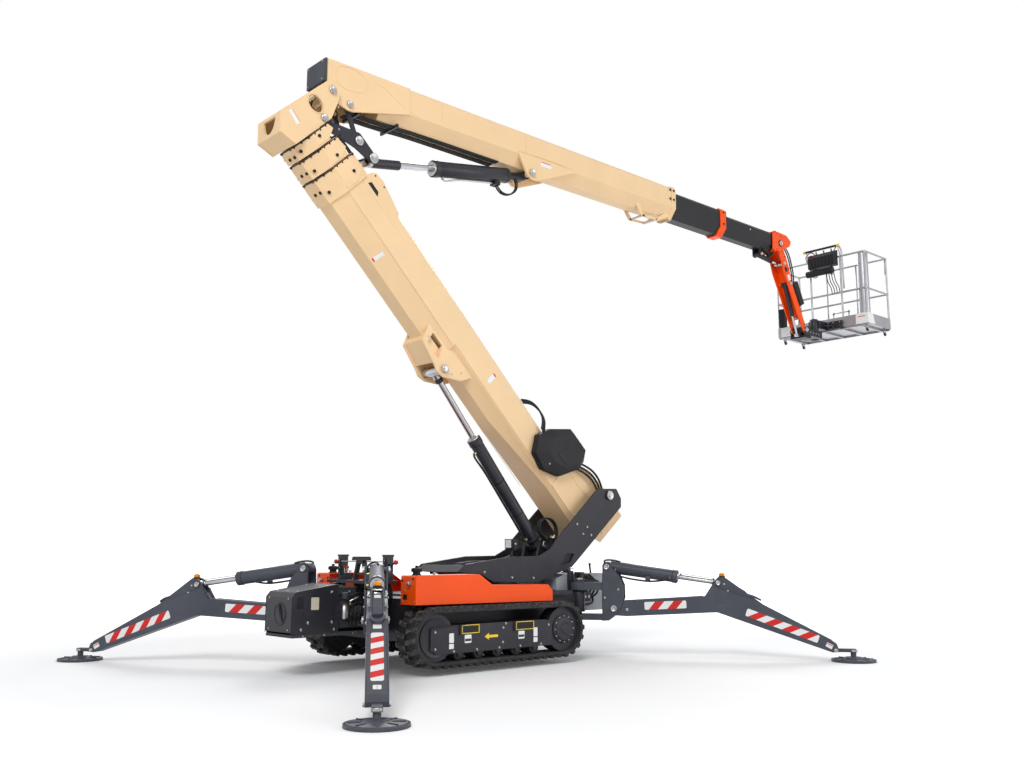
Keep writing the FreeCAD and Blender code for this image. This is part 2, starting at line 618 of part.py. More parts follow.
def past_elbow(*points):
    """Points given past the elbow pin, along the boom and square to it."""
    return [(-(d.head_reach + ahead), off) for ahead, off in points]


HEAD = past_elbow(
    (-235, -830), (-35, -905), (135, -740), (110, 60), (40, 90), (-70, 80), (-145, -40), (-235, -235))
head_parts = [carve("boom_last_tube", last, [last_core, slope_cut("boom_last_slope", 3)])]
for label, y0, y1 in (("near", -250, -222), ("far", 222, 250)):
    head_parts.append(prism(f"head_{label}", "XZ", HEAD, y0, y1))
head_parts += [
    prism("head_web", "XZ", past_elbow(
        (-230, -480), (-230, -830), (-35, -905), (135, -740), (125, -420),
        (110, -420), (115, -720), (-40, -880), (-200, -815), (-200, -480)), -230, 230),
    box("head_wall", -d.head_reach + 200, -d.head_reach + 234, -230, 230, -820, -400),
    drum("elbow_pin", "Y", d.elbow_pin_r, (-d.head_reach, 0), -262, 262),
    drum("lever_pin", "Y", d.lever_pin_r, (-lever_u, d.lever_n), -262, 262),
]
node("boom_head", fuse("boom_head_sum", head_parts), *MAIN)

# Elbow linkage: twin-plate lever and twin link bars.
lever_parts = []
to_low = (lever_u - link_low_u, d.link_low_n - d.lever_n)
to_eye = (lever_u - eye_u, d.eye_n - d.lever_n)
for label, y0, y1 in (("near", -172, -150), ("far", 150, 172)):
    lever_parts.append(prism(f"lever_plate_{label}", "XZ", (
        (-60, -10), (-20, 58), (60, 90), (to_low[0] - 60, to_low[1] + 70), (to_low[0] + 40, to_low[1] + 75),
        (to_eye[0] + 50, to_eye[1] + 45), (to_eye[0] + 60, to_eye[1] - 30), (to_eye[0] + 10, to_eye[1] - 65),
        (to_low[0] + 40, to_low[1] - 95), (250, 85), (60, -50), (-30, -55)), y0, y1))
lever_parts += [
    drum("lever_low_head_near", "Y", d.link_pin_r, to_low, -177, -147),
    drum("lever_low_head_far", "Y", d.link_pin_r, to_low, 147, 177),
    drum("lever_tube", "Y", 52, (0, 0), -170, 170),
    drum("lever_eye_head_near", "Y", 34, to_eye, -177, -86),
    drum("lever_eye_head_far", "Y", 34, to_eye, 86, 177),
]
lever_bore = drum("lever_bore", "Y", d.lever_pin_r + d.fit, (0, 0), -190, 190)
node("elbow_lever", carve("elbow_lever_cut", fuse("elbow_lever_sum", lever_parts), [lever_bore]),
     (lever_x, 0, lever_z), MAIN[1])
link_dx = elbow_x + d.link_top_x - low_link_x
link_dz = elbow_z + d.link_top_z - low_link_z
link_len = Size(math.hypot(link_dx.value, link_dz.value),
                f"sqrt(pow({link_dx.text}; 2) + pow({link_dz.text}; 2))")
link_turn = heading(link_dx, link_dz)
bars = []
for label, y0, y1 in (("near", -142, -116), ("far", 116, 142)):
    bar = fuse(f"link_bar_{label}", [
        box(f"link_flat_{label}", 0, link_len, y0, y1, -26, 26),
        drum(f"link_end_a_{label}", "Y", 46, (0, 0), y0, y1),
        drum(f"link_end_b_{label}", "Y", 48, (link_len, 0), y0, y1),
    ])
    bars.append(carve(f"link_cut_{label}", bar, [
        drum(f"link_bore_{label}", "Y", d.link_pin_r + d.fit, (link_len, 0), y0 - 5, y1 + 5),
    ]))
node("elbow_links", group("elbow_links_pair", bars), (low_link_x, 0, low_link_z),
     f"rotationy({link_turn.text})")

# Elbow cylinder.
arm_cyl_x, arm_cyl_z = elbow_x + d.arm_cyl_x, elbow_z + d.arm_cyl_z
arm_turn = heading(eye_x - arm_cyl_x, eye_z - arm_cyl_z)
arm_barrel = fuse("elbow_barrel_sum", [
    eye("elbow_base_eye", 54, 98),
    drum("elbow_base_neck", "X", 50, (0, 0), 20, 300),
    drum("elbow_tube", "X", d.arm_barrel_r, (0, 0), 290, d.arm_barrel_len),
])
node("elbow_barrel", carve("elbow_barrel_cut", arm_barrel, [
    drum("elbow_bore", "X", d.arm_rod_r + d.fit, (0, 0), 320, d.arm_barrel_len + 20),
    drum("elbow_base_bore", "Y", d.arm_cyl_pin_r + d.fit, (0, 0), -120, 120),
]), (arm_cyl_x, 0, arm_cyl_z), f"rotationy({arm_turn.text})")
arm_rod = fuse("elbow_rod_sum", [
    eye("elbow_rod_eye", 62, 80),
    drum("elbow_rod_bar", "X", d.arm_rod_r, (0, 0), -1900, -40),
    drum("elbow_rod_sleeve", "X", 56, (0, 0), -480, -40),
])
node("elbow_rod", arm_rod,
     (eye_x, 0, eye_z), f"rotationy({arm_turn.text})")

# Second boom: outer tube open below at its root, two telescoping sections.
arm_outer = tube_section("arm_tube", d.arm_side, d.arm_top, d.arm_edge, d.arm_belly, 700, arm_end)
arm_collar = tube_section("arm_collar", d.arm_side + 12, d.arm_top + 12, d.arm_edge, d.arm_belly - 12,
                          arm_end - 90, arm_end)
arm_void = tube_section("arm_void", d.arm_side - d.skin, d.arm_top - d.skin, d.arm_edge,
                        d.arm_belly + d.skin, 710, arm_end - 90)
arm_mouth = tube_section("arm_mouth", d.arm_side - 25 + d.seat, d.arm_top - 50 + d.seat, d.arm_edge - d.seat,
                         d.arm_belly + 25 - d.seat, arm_end - 100, arm_end + 20)
arm_shell = carve("arm_shell", fuse("arm_sum", [arm_outer, arm_collar]), [arm_void, arm_mouth])
ROOT = (
    (-35, d.arm_top - 10), (-35, 60), (-75, 0), (-40, -75), (40, -85), (240, -145), (300, -145),
    (1100, 60), (1100, d.arm_top - 10),
)
root_plates = []
for label, y0, y1 in (("near", -205, -184), ("far", 184, 205)):
    root_plates.append(prism(f"arm_root_{label}", "XZ", ROOT, y0, y1))
gusset = []
for label, y0, y1 in (("near", -200, -170), ("far", 170, 200)):
    gusset.append(prism(f"arm_gusset_{label}", "XZ", (
        (2850, 100), (3020, -180), (3101, -225), (3190, -225), (3900, 60), (3900, 100)), y0, y1))
arm_parts = [arm_shell] + root_plates + gusset + [
    box("arm_roof", -35, 760, -190, 190, d.arm_top - 12, d.arm_top),
    box("arm_back", -35, -20, -190, 190, 130, d.arm_top - 5),
    drum("arm_pin_boss", "Y", 75, (0, 0), -216, 216),
    drum("link_pin_near", "Y", d.link_pin_r, (d.link_top_x, d.link_top_z), -214, -112),
    drum("link_pin_far", "Y", d.link_pin_r, (d.link_top_x, d.link_top_z), 112, 214),
    drum("arm_cyl_pin", "Y", d.arm_cyl_pin_r, (d.arm_cyl_x, d.arm_cyl_z), -212, 212),
]
node("arm_outer", carve("arm_bored", fuse("arm_all", arm_parts),
                        [drum("arm_bore", "Y", d.elbow_pin_r + d.fit, (0, 0), -230, 230)]), *ARM)
node("arm_end_cap", prism("arm_cap", "XZ", (
    (-75, 120), (-75, 385), (-60, 400), (-35 - d.seat, 400), (-35 - d.seat, 120)), -185, 185), *ARM)

arm_mid = tube_section("arm_mid_tube", d.arm_side - 25, d.arm_top - 50, d.arm_edge, d.arm_belly + 25,
                       2700, arm_mid_end)
arm_ring = tube_section("arm_mid_ring", d.arm_side - 8, d.arm_top - 34, d.arm_edge - 10, d.arm_belly - 4,
                        arm_mid_end - 150, arm_mid_end)
arm_mid_void = tube_section("arm_mid_void", d.arm_side - 33, d.arm_top - 58, d.arm_edge,
                            d.arm_belly + 33, 2690, arm_mid_end - 150)
arm_mid_mouth = tube_section("arm_mid_mouth", d.arm_side - 55 + d.seat, d.arm_top - 100 + d.seat,
                             d.arm_edge + 10 - d.seat, d.arm_belly + 50 - d.seat,
                             arm_mid_end - 160, arm_mid_end + 20)
node("arm_middle", carve("arm_mid_cut", arm_mid, [arm_mid_void, arm_mid_mouth]), *ARM)
ring_void = tube_section("arm_ring_void", d.arm_side - 25 + d.seat, d.arm_top - 50 + d.seat,
                         d.arm_edge - d.seat, d.arm_belly + 25 - d.seat,
                         arm_mid_end - 160, arm_mid_end + 20)
node("arm_middle_collar", carve("arm_ring_cut", arm_ring, [ring_void]), *ARM)
arm_in = tube_section("arm_in_tube", d.arm_side - 55, d.arm_top - 100, d.arm_edge + 10, d.arm_belly + 50,
                      4000, arm_inner_end)
arm_in_void = tube_section("arm_in_void", d.arm_side - 63, d.arm_top - 108, d.arm_edge + 10,
                           d.arm_belly + 58, 3980, arm_inner_end - 20)
ear_x = d.jib_pin_x - d.jib_cyl_back
arm_ears = []
for label, y0, y1 in (("near", -70, -50), ("far", 50, 70)):
    arm_ears.append(prism(f"jib_ear_{label}", "XZ", (
        (ear_x - 45, -10), (ear_x - 45, -110), (ear_x - 5, -160), (ear_x + 45, -150),
        (ear_x + 155, -20)), y0, y1))
arm_ears.append(drum("jib_base_pin", "Y", d.small_pin_r, (ear_x, -115), -80, 80))
SLOT = (arm_inner_end - 290, arm_inner_end + 30, -50, 50, -70, 75)
node("arm_inner", fuse("arm_inner_sum", [
    carve("arm_in_cut", arm_in, [arm_in_void, box("arm_in_slot", *SLOT)])] + arm_ears), *ARM)

# Jib head fork at the second boom's tip, then the jib itself.
fork = []
for label, y0, y1 in (("near", -152, -126), ("far", 126, 152)):
    fork.append(prism(f"jib_fork_{label}", "XZ", (
        (arm_inner_end + d.seat, -40), (arm_inner_end + d.seat, 315), (d.jib_pin_x - 142, 345),
        (d.jib_pin_x + 48, 290), (d.jib_pin_x + 108, 150), (d.jib_pin_x + 48, 60), (d.jib_pin_x - 52, 30)),
        y0, y1))
fork += [
    box("fork_plate", arm_inner_end + d.seat, arm_inner_end + 20, -150, 150, -30, 320),
    drum("jib_pin", "Y", d.jib_pin_r, (d.jib_pin_x, d.jib_pin_z), -162, 162),
]
node("jib_fork", carve("jib_fork_cut", fuse("jib_fork_sum", fork), [box("fork_slot", *SLOT)]), *ARM)
JIB_SIDE = (
    (-60, 40), (20, 90), (260, 110), (480, 100), (700, 45), (1050, 52), (d.jib_len - 126, 62),
    (d.jib_len + 64, 50), (d.jib_len + 74, -20), (d.jib_len - 16, -50), (d.jib_len - 426, -70), (720, -80),
    (480, -90), (300, -60), (60, -70), (-60, -40),
)
level_base = d.jib_len - d.level_cyl_back
jib_parts = []
for label, y0, y1 in (("near", -118, -98), ("far", 98, 118)):
    jib_parts.append(prism(f"jib_side_{label}", "XZ", JIB_SIDE, y0, y1))
jib_parts += [
    drum("jib_boss", "Y", 60, (0, 0), -118, 118),
    box("jib_back", 330, 540, -100, 100, 66, 80),
    drum("level_cyl_pin", "Y", d.small_pin_r, (level_base, 0), -105, 105),
]
jib_bores = [
    drum("jib_bore", "Y", d.jib_pin_r + d.fit, (0, 0), -130, 130),
    drum("jib_end_bore", "Y", d.level_pin_r + d.fit, (d.jib_len, 0), -130, 130),
]
node("jib", carve("jib_cut", fuse("jib_sum", jib_parts), jib_bores), *JIB)

# Jib lift cylinder and basket levelling cylinder.
jc_x0, jc_z0 = elbow_x + ear_x, elbow_z - 115
jc_x1 = jib_x + 350 * cosine(d.jib_drop) - 10 * sine(d.jib_drop)
jc_z1 = jib_z - 350 * sine(d.jib_drop) - 10 * cosine(d.jib_drop)
jc_turn = heading(jc_x1 - jc_x0, jc_z1 - jc_z0)
node("jib_barrel", carve("jib_barrel_cut", fuse("jib_barrel_sum", [
    eye("jib_base_eye", 34, 46), drum("jib_tube", "X", 42, (0, 0), 20, 400)]), [
        drum("jib_tube_bore", "X", 22 + d.fit, (0, 0), 50, 420),
        drum("jib_base_bore", "Y", d.small_pin_r + d.fit, (0, 0), -60, 60)]),
     (jc_x0, 0, jc_z0), f"rotationy({jc_turn.text})")
node("jib_rod", fuse("jib_rod_sum", [
    eye("jib_rod_eye", 32, 88), drum("jib_rod_bar", "X", 22, (0, 0), -420, -15)]),
     (jc_x1, 0, jc_z1), f"rotationy({jc_turn.text})")
lc_x0 = jib_x + level_base * cosine(d.jib_drop)
lc_z0 = jib_z - level_base * sine(d.jib_drop)
lc_x1, lc_z1 = level_x - 65, level_z - 85
lc_turn = heading(lc_x1 - lc_x0, lc_z1 - lc_z0)
node("level_barrel", carve("level_barrel_cut", fuse("level_barrel_sum", [
    eye("level_base_eye", 34, 50), drum("level_tube", "X", 36, (0, 0), 20, 560)]), [
        drum("level_tube_bore", "X", 19 + d.fit, (0, 0), 50, 600),
        drum("level_base_bore", "Y", d.small_pin_r + d.fit, (0, 0), -60, 60)]),
     (lc_x0, 0, lc_z0), f"rotationy({lc_turn.text})")
node("level_rod", fuse("level_rod_sum", [
    eye("level_rod_eye", 30, 36), drum("level_rod_bar", "X", 19, (0, 0), -640, -15)]),
     (lc_x1, 0, lc_z1), f"rotationy({lc_turn.text})")

# Basket carrier with its upright turning pin.
EAR = (
    (level_x - 95, level_z - 95), (level_x - 85, level_z - 55), (level_x - 10, level_z + 38),
    (level_x + 38, level_z + 10), (level_x - 25, level_z - 110), (level_x - 60, level_z - 120),
)
carrier = [
    drum("carrier_tube", "Y", d.level_pin_r, (level_x, level_z), -150, 150),
    box("carrier_plate_near", level_x - 34, turn_x, -150, -128, carrier_low, carrier_top),
    box("carrier_plate_far", level_x - 34, turn_x, 128, 150, carrier_low, carrier_top),
    box("carrier_floor", level_x + 120, turn_x, -150, 150, carrier_low, carrier_low + 25),
    drum("turn_socket", "Z", 95, (turn_x, 0), carrier_low, carrier_top),
    drum("turn_pin", "Z", d.turn_pin_r, (turn_x, 0), carrier_top - 25, carrier_top + 245),
]
for label, y0, y1 in (("near", -58, -40), ("far", 40, 58)):
    carrier.append(prism(f"level_ear_{label}", "XZ", EAR, y0, y1))
node("basket_carrier", fuse("carrier_sum", carrier))

# Basket: tray, posts, rails, toe boards and turning bracket.
bx0, bx1 = level_x + d.basket_out, level_x + d.basket_out + d.basket_deep
by1 = d.basket_wide / 2
fl = level_z + d.basket_lift
top = fl + d.basket_high - d.rail_r
basket_parts = [
    box("tray", bx0, bx1, -by1, by1, fl, fl + 30),
    box("toe_front", bx0, bx0 + 6, -by1, by1, fl, fl + 190),
    box("toe_back", bx1 - 6, bx1, -by1, by1, fl, fl + 190),
    box("toe_near", bx0, bx1, -by1, -by1 + 6, fl, fl + 190),
    box("toe_far", bx0, bx1, by1 - 6, by1, fl, fl + 190),
]
x_lo, x_hi = bx0 + d.rail_r, bx1 - d.rail_r
y_lo, y_hi = -by1 + d.rail_r, by1 - d.rail_r
post_places = ((x_lo, y_lo), (x_lo, y_hi), (x_hi, y_lo), (x_hi, y_hi), (x_lo, 180), (x_lo, -420))
for i, (x, y) in enumerate(post_places):
    basket_parts.append(drum(f"post_{i}", "Z", d.rail_r, (x, y), fl + 5, top))
for i, z in enumerate((top, fl + 640)):
    basket_parts += [
        drum(f"rail_front_{i}", "Y", d.rail_r, (x_lo, z), y_lo, y_hi),
        drum(f"rail_back_{i}", "Y", d.rail_r, (x_hi, z), y_lo, y_hi),
        drum(f"rail_near_{i}", "X", d.rail_r, (y_lo, z), x_lo, x_hi),
        drum(f"rail_far_{i}", "X", d.rail_r, (y_hi, z), x_lo, x_hi),
    ]
node("basket", fuse("basket_sum", basket_parts))
turn_bracket = fuse("turn_bracket_sum", [
    drum("turn_sleeve", "Z", 75, (turn_x, 0), carrier_top + d.seat, carrier_top + 235),
    box("turn_arm", turn_x, bx0 - d.seat, -110, 110, fl - 14, fl + 136),
    box("turn_beam", bx0 - 40, bx0 - d.seat, -420, 420, fl + 6, fl + 126),
])
turn_bore = drum("turn_bore", "Z", d.turn_pin_r + d.fit, (turn_x, 0), carrier_top - 5, carrier_top + 255)
node("basket_bracket", carve("turn_bracket_cut", turn_bracket, [turn_bore]))
node("control_console", fuse("console_sum", [
    box("console_case", bx0 - 150, bx0 - 20, -340, 40, fl + 846, fl + 1086),
    box("console_strap_near", bx0 - 40, bx0 - d.seat, -320, -290, fl + 1076, top + 10),
    box("console_strap_far", bx0 - 40, bx0 - d.seat, -10, 20, fl + 1076, top + 10),
]))

# Hose housing on the near side of the main boom's foot, and the rear tank.
node("hose_housing", prism("housing", "XZ", (
    (-1212, -420), (-1071, -190), (-860, 60), (-640, 100), (-540, 20), (-560, -130), (-680, -340),
    (-840, -440), (-1000, -470)), -392, -258 - d.seat), *MAIN)
node("rear_tank", prism("tank", "XZ", (
    (860, 750 + d.seat), (860, 915), (1020, 975), (1880, 975), (1880, 640), (1700, 520),
    (1100 + d.seat, 520), (1100 + d.seat, 750 + d.seat),
), -400, 400))

doc.recompute()
faulty = [item.Label for item in doc.Objects if "Invalid" in item.State or "Error" in item.State]
if faulty:
    raise RuntimeError(f"not built: {faulty}")
os.makedirs("parts", exist_ok=True)
for item in NODES:
    shape = item.Shape
    if shape.isNull() or not shape.isValid():
        raise RuntimeError(f"bad shape: {item.Label}")
    shape.exportStep(f"parts/{item.Label}.step")
    print(f"{item.Label:24s} solids {len(shape.Solids)} volume {shape.Volume / 1e6:9.3f} l "
          f"x {shape.BoundBox.XMin:8.1f} {shape.BoundBox.XMax:8.1f} y {shape.BoundBox.YMin:8.1f} "
          f"{shape.BoundBox.YMax:8.1f} z {shape.BoundBox.ZMin:8.1f} {shape.BoundBox.ZMax:8.1f}")
print(len(NODES), "nodes")
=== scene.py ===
import json
import math

import bmesh
import bpy
from mathutils import Matrix, Vector


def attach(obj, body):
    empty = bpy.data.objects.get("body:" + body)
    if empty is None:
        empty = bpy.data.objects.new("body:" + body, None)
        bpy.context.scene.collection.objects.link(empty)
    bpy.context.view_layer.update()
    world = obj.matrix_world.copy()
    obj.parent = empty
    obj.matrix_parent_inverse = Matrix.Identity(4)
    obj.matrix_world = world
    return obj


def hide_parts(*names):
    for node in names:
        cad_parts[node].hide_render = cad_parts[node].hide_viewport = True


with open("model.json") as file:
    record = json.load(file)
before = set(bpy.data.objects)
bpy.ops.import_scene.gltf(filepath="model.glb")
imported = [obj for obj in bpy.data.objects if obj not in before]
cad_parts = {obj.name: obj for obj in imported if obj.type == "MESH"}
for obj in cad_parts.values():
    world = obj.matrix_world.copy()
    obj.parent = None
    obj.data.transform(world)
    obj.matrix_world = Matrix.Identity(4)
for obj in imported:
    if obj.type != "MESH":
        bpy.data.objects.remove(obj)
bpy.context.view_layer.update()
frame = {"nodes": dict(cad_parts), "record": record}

# Places that part.py works out, in metres.
FOOT = Vector((1.82, 0.0, 1.976))
LUFF_REST = math.radians(45.5)
ELBOW = FOOT + 6.08 * Vector((-math.cos(LUFF_REST), 0.0, math.sin(LUFF_REST)))
JIB_PIN = ELBOW + Vector((9.012, 0.0, 0.142))
JIB_DROP = math.radians(63.0)
LEVEL_PIN = JIB_PIN + 1.576 * Vector((math.cos(JIB_DROP), 0.0, -math.sin(JIB_DROP)))
TRACK_FRONT, TRACK_REAR, TRACK_LOW, TRACK_TOP = -1.8, 0.68, 0.07, 0.693

WORLD = Matrix.Identity(4)
MAIN = Matrix.Translation(FOOT) @ Matrix.Rotation(LUFF_REST, 4, "Y")
ARM = Matrix.Translation(ELBOW)
JIB = Matrix.Translation(JIB_PIN) @ Matrix.Rotation(JIB_DROP, 4, "Y")
CORNERS = {
    "near_front": (-1.8, -0.37, -124.3),
    "far_front": (-1.8, 0.37, 124.3),
    "near_rear": (1.1, -0.55, -54.4),
    "far_rear": (1.1, 0.55, 54.4),
}


def corner_frame(corner):
    x, y, turn = CORNERS[corner]
    return Matrix.Translation((x, y, 0.0)) @ Matrix.Rotation(math.radians(turn), 4, "Z")


# Materials.
class Graph:
    """A node material built step by step."""

    def __init__(self, name):
        self.material = bpy.data.materials.new(name)
        self.material.use_nodes = True
        self.nodes = self.material.node_tree.nodes
        self.links = self.material.node_tree.links
        self.shader = self.nodes["Principled BSDF"]
        self.place = self.nodes.new("ShaderNodeTexCoord").outputs["Object"]

    def noise(self, scale, detail=4.0, stretch=None):
        node = self.nodes.new("ShaderNodeTexNoise")
        node.inputs["Scale"].default_value = scale
        node.inputs["Detail"].default_value = detail
        source = self.place
        if stretch:
            mapping = self.nodes.new("ShaderNodeMapping")
            mapping.inputs["Scale"].default_value = stretch
            self.links.new(self.place, mapping.inputs["Vector"])
            source = mapping.outputs["Vector"]
        self.links.new(source, node.inputs["Vector"])
        return node.outputs["Fac"]

    def ramp(self, factor, low, high, first, second):
        node = self.nodes.new("ShaderNodeValToRGB")
        node.color_ramp.elements[0].position = low
        node.color_ramp.elements[1].position = high
        node.color_ramp.elements[0].color = (*first, 1.0)
        node.color_ramp.elements[1].color = (*second, 1.0)
        self.links.new(factor, node.inputs["Fac"])
        return node.outputs["Color"]

    def mix(self, factor, first, second, blend="MIX"):
        node = self.nodes.new("ShaderNodeMix")
        node.data_type = "RGBA"
        node.blend_type = blend
        for socket, value in (("Factor", factor), ("A", first), ("B", second)):
            target = [s for s in node.inputs if s.name == socket and s.enabled][0]
            if hasattr(value, "links"):
                self.links.new(value, target)
            else:
                target.default_value = value
        return [s for s in node.outputs if s.enabled][0]

    def rough(self, factor, low, high):
        node = self.nodes.new("ShaderNodeMapRange")
        node.inputs["To Min"].default_value = low
        node.inputs["To Max"].default_value = high
        self.links.new(factor, node.inputs["Value"])
        self.links.new(node.outputs["Result"], self.shader.inputs["Roughness"])

    def bump(self, height, strength, distance):
        node = self.nodes.new("ShaderNodeBump")
        node.inputs["Strength"].default_value = strength
        node.inputs["Distance"].default_value = distance
        self.links.new(height, node.inputs["Height"])
        self.links.new(node.outputs["Normal"], self.shader.inputs["Normal"])

    def colour(self, source):
        self.links.new(source, self.shader.inputs["Base Color"])


def shade(colour, share):
    return tuple(min(1.0, c * share) for c in colour)


def paint(name, colour, rough=(0.3, 0.42), coat=0.25, vary=0.06, dust=0.0, bump=0.0004):
    """Sprayed paint: faint cloudiness, orange peel and optional road dust in patches."""
    graph = Graph(name)
    cloud = graph.noise(1.7)
    base = graph.ramp(cloud, 0.3, 0.7, shade(colour, 1.0 - vary), shade(colour, 1.0 + vary))
    if dust:
        patches = graph.ramp(graph.noise(9.0, 8.0), 0.52, 0.8, (0.0,) * 3, (dust,) * 3)
        base = graph.mix(patches, base, (0.46, 0.42, 0.37, 1.0))
    graph.colour(base)
    graph.rough(graph.noise(26.0), *rough)
    graph.shader.inputs["Specular IOR Level"].default_value = 0.2
    graph.shader.inputs["Coat Weight"].default_value = coat
    graph.shader.inputs["Coat Roughness"].default_value = 0.18
    graph.bump(graph.noise(210.0, 2.0), 0.25, bump)
    return graph.material


def metal(name, colour, rough, brushed=None, bump=0.0002):
    """Bare metal with fine drawn lines."""
    graph = Graph(name)
    graph.shader.inputs["Metallic"].default_value = 1.0
    cloud = graph.noise(6.0)
    graph.colour(graph.ramp(cloud, 0.25, 0.75, shade(colour, 0.88), shade(colour, 1.06)))
    graph.rough(graph.noise(90.0, 3.0, brushed), *rough)
    graph.bump(graph.noise(320.0, 2.0, brushed), 0.3, bump)
    return graph.material


def plastic(name, colour, rough=(0.45, 0.62), scale=480.0, bump=0.0006):
    """Moulded plastic or rubber with a fine grain."""
    graph = Graph(name)
    graph.colour(graph.ramp(graph.noise(4.0), 0.3, 0.7, shade(colour, 0.85), shade(colour, 1.25)))
    graph.rough(graph.noise(40.0), *rough)
    graph.shader.inputs["Specular IOR Level"].default_value = 0.2
    graph.bump(graph.noise(scale, 3.0), 0.45, bump)
    return graph.material


def rubber(name, colour, worn, share):
    """Track rubber: dusty, with scuffed pale patches."""
    graph = Graph(name)
    base = graph.ramp(graph.noise(5.0, 6.0), 0.35, 0.7, colour, shade(colour, 1.9))
    scuffs = graph.ramp(graph.noise(36.0, 8.0), 0.5, 0.78, (0.0,) * 3, (share,) * 3)
    graph.colour(graph.mix(scuffs, base, (*worn, 1.0)))
    graph.rough(graph.noise(30.0), 0.7, 0.92)
    graph.shader.inputs["Specular IOR Level"].default_value = 0.3
    graph.bump(graph.noise(150.0, 5.0), 0.6, 0.0015)
    return graph.material


CREAM = (0.83, 0.585, 0.335)
SLATE = (0.066, 0.071, 0.09)
COAL = (0.026, 0.026, 0.034)
ORANGE = (0.9, 0.08, 0.001)
mat = {
    "cream": paint("cream_paint", CREAM, (0.36, 0.5), 0.06, 0.035),
    "slate": paint("slate_paint", SLATE, (0.36, 0.52), 0.04, 0.14, 0.04),
    "coal": paint("coal_paint", COAL, (0.32, 0.48), 0.08, 0.14, 0.02),
    "orange": paint("orange_paint", ORANGE, (0.3, 0.42), 0.06, 0.05),
    "black": paint("black_paint", (0.012, 0.012, 0.014), (0.38, 0.54), 0.03, 0.2),
    "white": paint("white_film", (0.8, 0.8, 0.79), (0.3, 0.4), 0.05, 0.02),
    "red": paint("red_film", (0.62, 0.022, 0.02), (0.3, 0.42), 0.05, 0.05),
    "yellow": paint("yellow_film", (0.86, 0.6, 0.03), (0.3, 0.4), 0.2, 0.04),
    "beige": paint("beige_film", (0.62, 0.56, 0.44), (0.35, 0.45), 0.1, 0.04),
    "chrome": metal("rod_chrome", (0.46, 0.46, 0.48), (0.16, 0.28)),
    "zinc": metal("zinc_bolts", (0.4, 0.4, 0.4), (0.28, 0.45)),
    "brass": metal("brass_fitting", (0.46, 0.36, 0.17), (0.28, 0.42)),
    "iron": paint("engine_iron", (0.05, 0.053, 0.058), (0.5, 0.7), 0.0, 0.25, 0.18),
    "alloy": metal("basket_alloy", (0.36, 0.36, 0.38), (0.34, 0.52), (1.0, 1.0, 14.0)),
    "plastic": plastic("black_plastic", (0.014, 0.014, 0.016)),
    "cap": plastic("cap_plastic", (0.05, 0.055, 0.065)),
    "hose": plastic("hose_rubber", (0.012, 0.012, 0.013), (0.38, 0.55), 700.0),
    "tank": plastic("tank_plastic", (0.3, 0.32, 0.35), (0.4, 0.52), 300.0),
    "ball": plastic("red_knob", (0.55, 0.02, 0.018), (0.18, 0.3), 60.0, 0.0003),
    "ring": plastic("pad_rubber", (0.016, 0.016, 0.017), (0.6, 0.8), 300.0, 0.0008),
    "track": rubber("track_rubber", (0.018, 0.018, 0.019), (0.16, 0.155, 0.15), 0.35),
    "lug": rubber("lug_rubber", (0.028, 0.028, 0.029), (0.26, 0.25, 0.24), 0.75),
    "amber": plastic("amber_lens", (0.8, 0.27, 0.01), (0.1, 0.2), 60.0, 0.0003),
    "lens": plastic("lamp_lens", (0.72, 0.75, 0.8), (0.06, 0.14), 50.0, 0.0003),
}
SLOTS = {
    "cream_paint": "cream", "dark_paint": "slate", "orange_paint": "orange", "black_paint": "black",
    "track_rubber": "track", "rod_chrome": "chrome", "engine_metal": "iron", "basket_metal": "alloy",
    "black_plastic": "plastic", "tank_grey": "tank", "cap_plastic": "cap",
}


slot_of = {row["node"]: row["material_slot"] for row in frame["record"]["subparts"]}
body_of = {name: body for body, names in frame["record"]["behaviour"]["bodies"].items() for name in names}
FINE = {"basket", "jib", "jib_fork", "basket_carrier", "work_light", "control_console", "elbow_links"}


def add_object(name, data):
    item = bpy.data.objects.new(name, data)
    bpy.context.scene.collection.objects.link(item)
    return item


def add_weld(item):
    item.modifiers.new("weld", "WELD").merge_threshold = 0.00002


def add_bevel(item, width, segments, degrees):
    bevel = item.modifiers.new("bevel", "BEVEL")
    bevel.width = width
    bevel.segments = segments
    bevel.limit_method = "ANGLE"
    bevel.angle_limit = math.radians(degrees)
    return bevel


def dress_nodes():
    """Give each carried-over CAD node its material and softly broken edges."""
    for name, item in frame["nodes"].items():
        item.data.materials.clear()
        key = SLOTS[slot_of[name]]
        if key == "slate" and not any(corner in name for corner in CORNERS):
            key = "coal"
        item.data.materials.append(mat[key])
        add_weld(item)
        add_bevel(item, 0.0012 if name in FINE else 0.003, 2, 32).harden_normals = True


dress_nodes()


UP, DOWN, OUT, AHEAD = (0, 0, 1), (0, 0, -1), (0, 1, 0), (-1, 0, 0)
BLOCK = ((0, 1, 3, 2), (4, 6, 7, 5), (0, 4, 5, 1), (2, 3, 7, 6), (0, 2, 6, 4), (1, 5, 7, 3))


def xz(y, *points):
    """Points of one plane along the machine."""
    return [(x, y, z) for x, z in points]


def stub(radius, high, top, end):
    """A turned profile of one radius up to high, with another at its top."""
    return (0, radius), (high, radius), (top, end)


def ring_points(count, centre, radii):
    return [(centre[0] + radii[0] * math.cos(2 * math.pi * k / count),
             centre[1] + radii[1] * math.sin(2 * math.pi * k / count)) for k in range(count)]


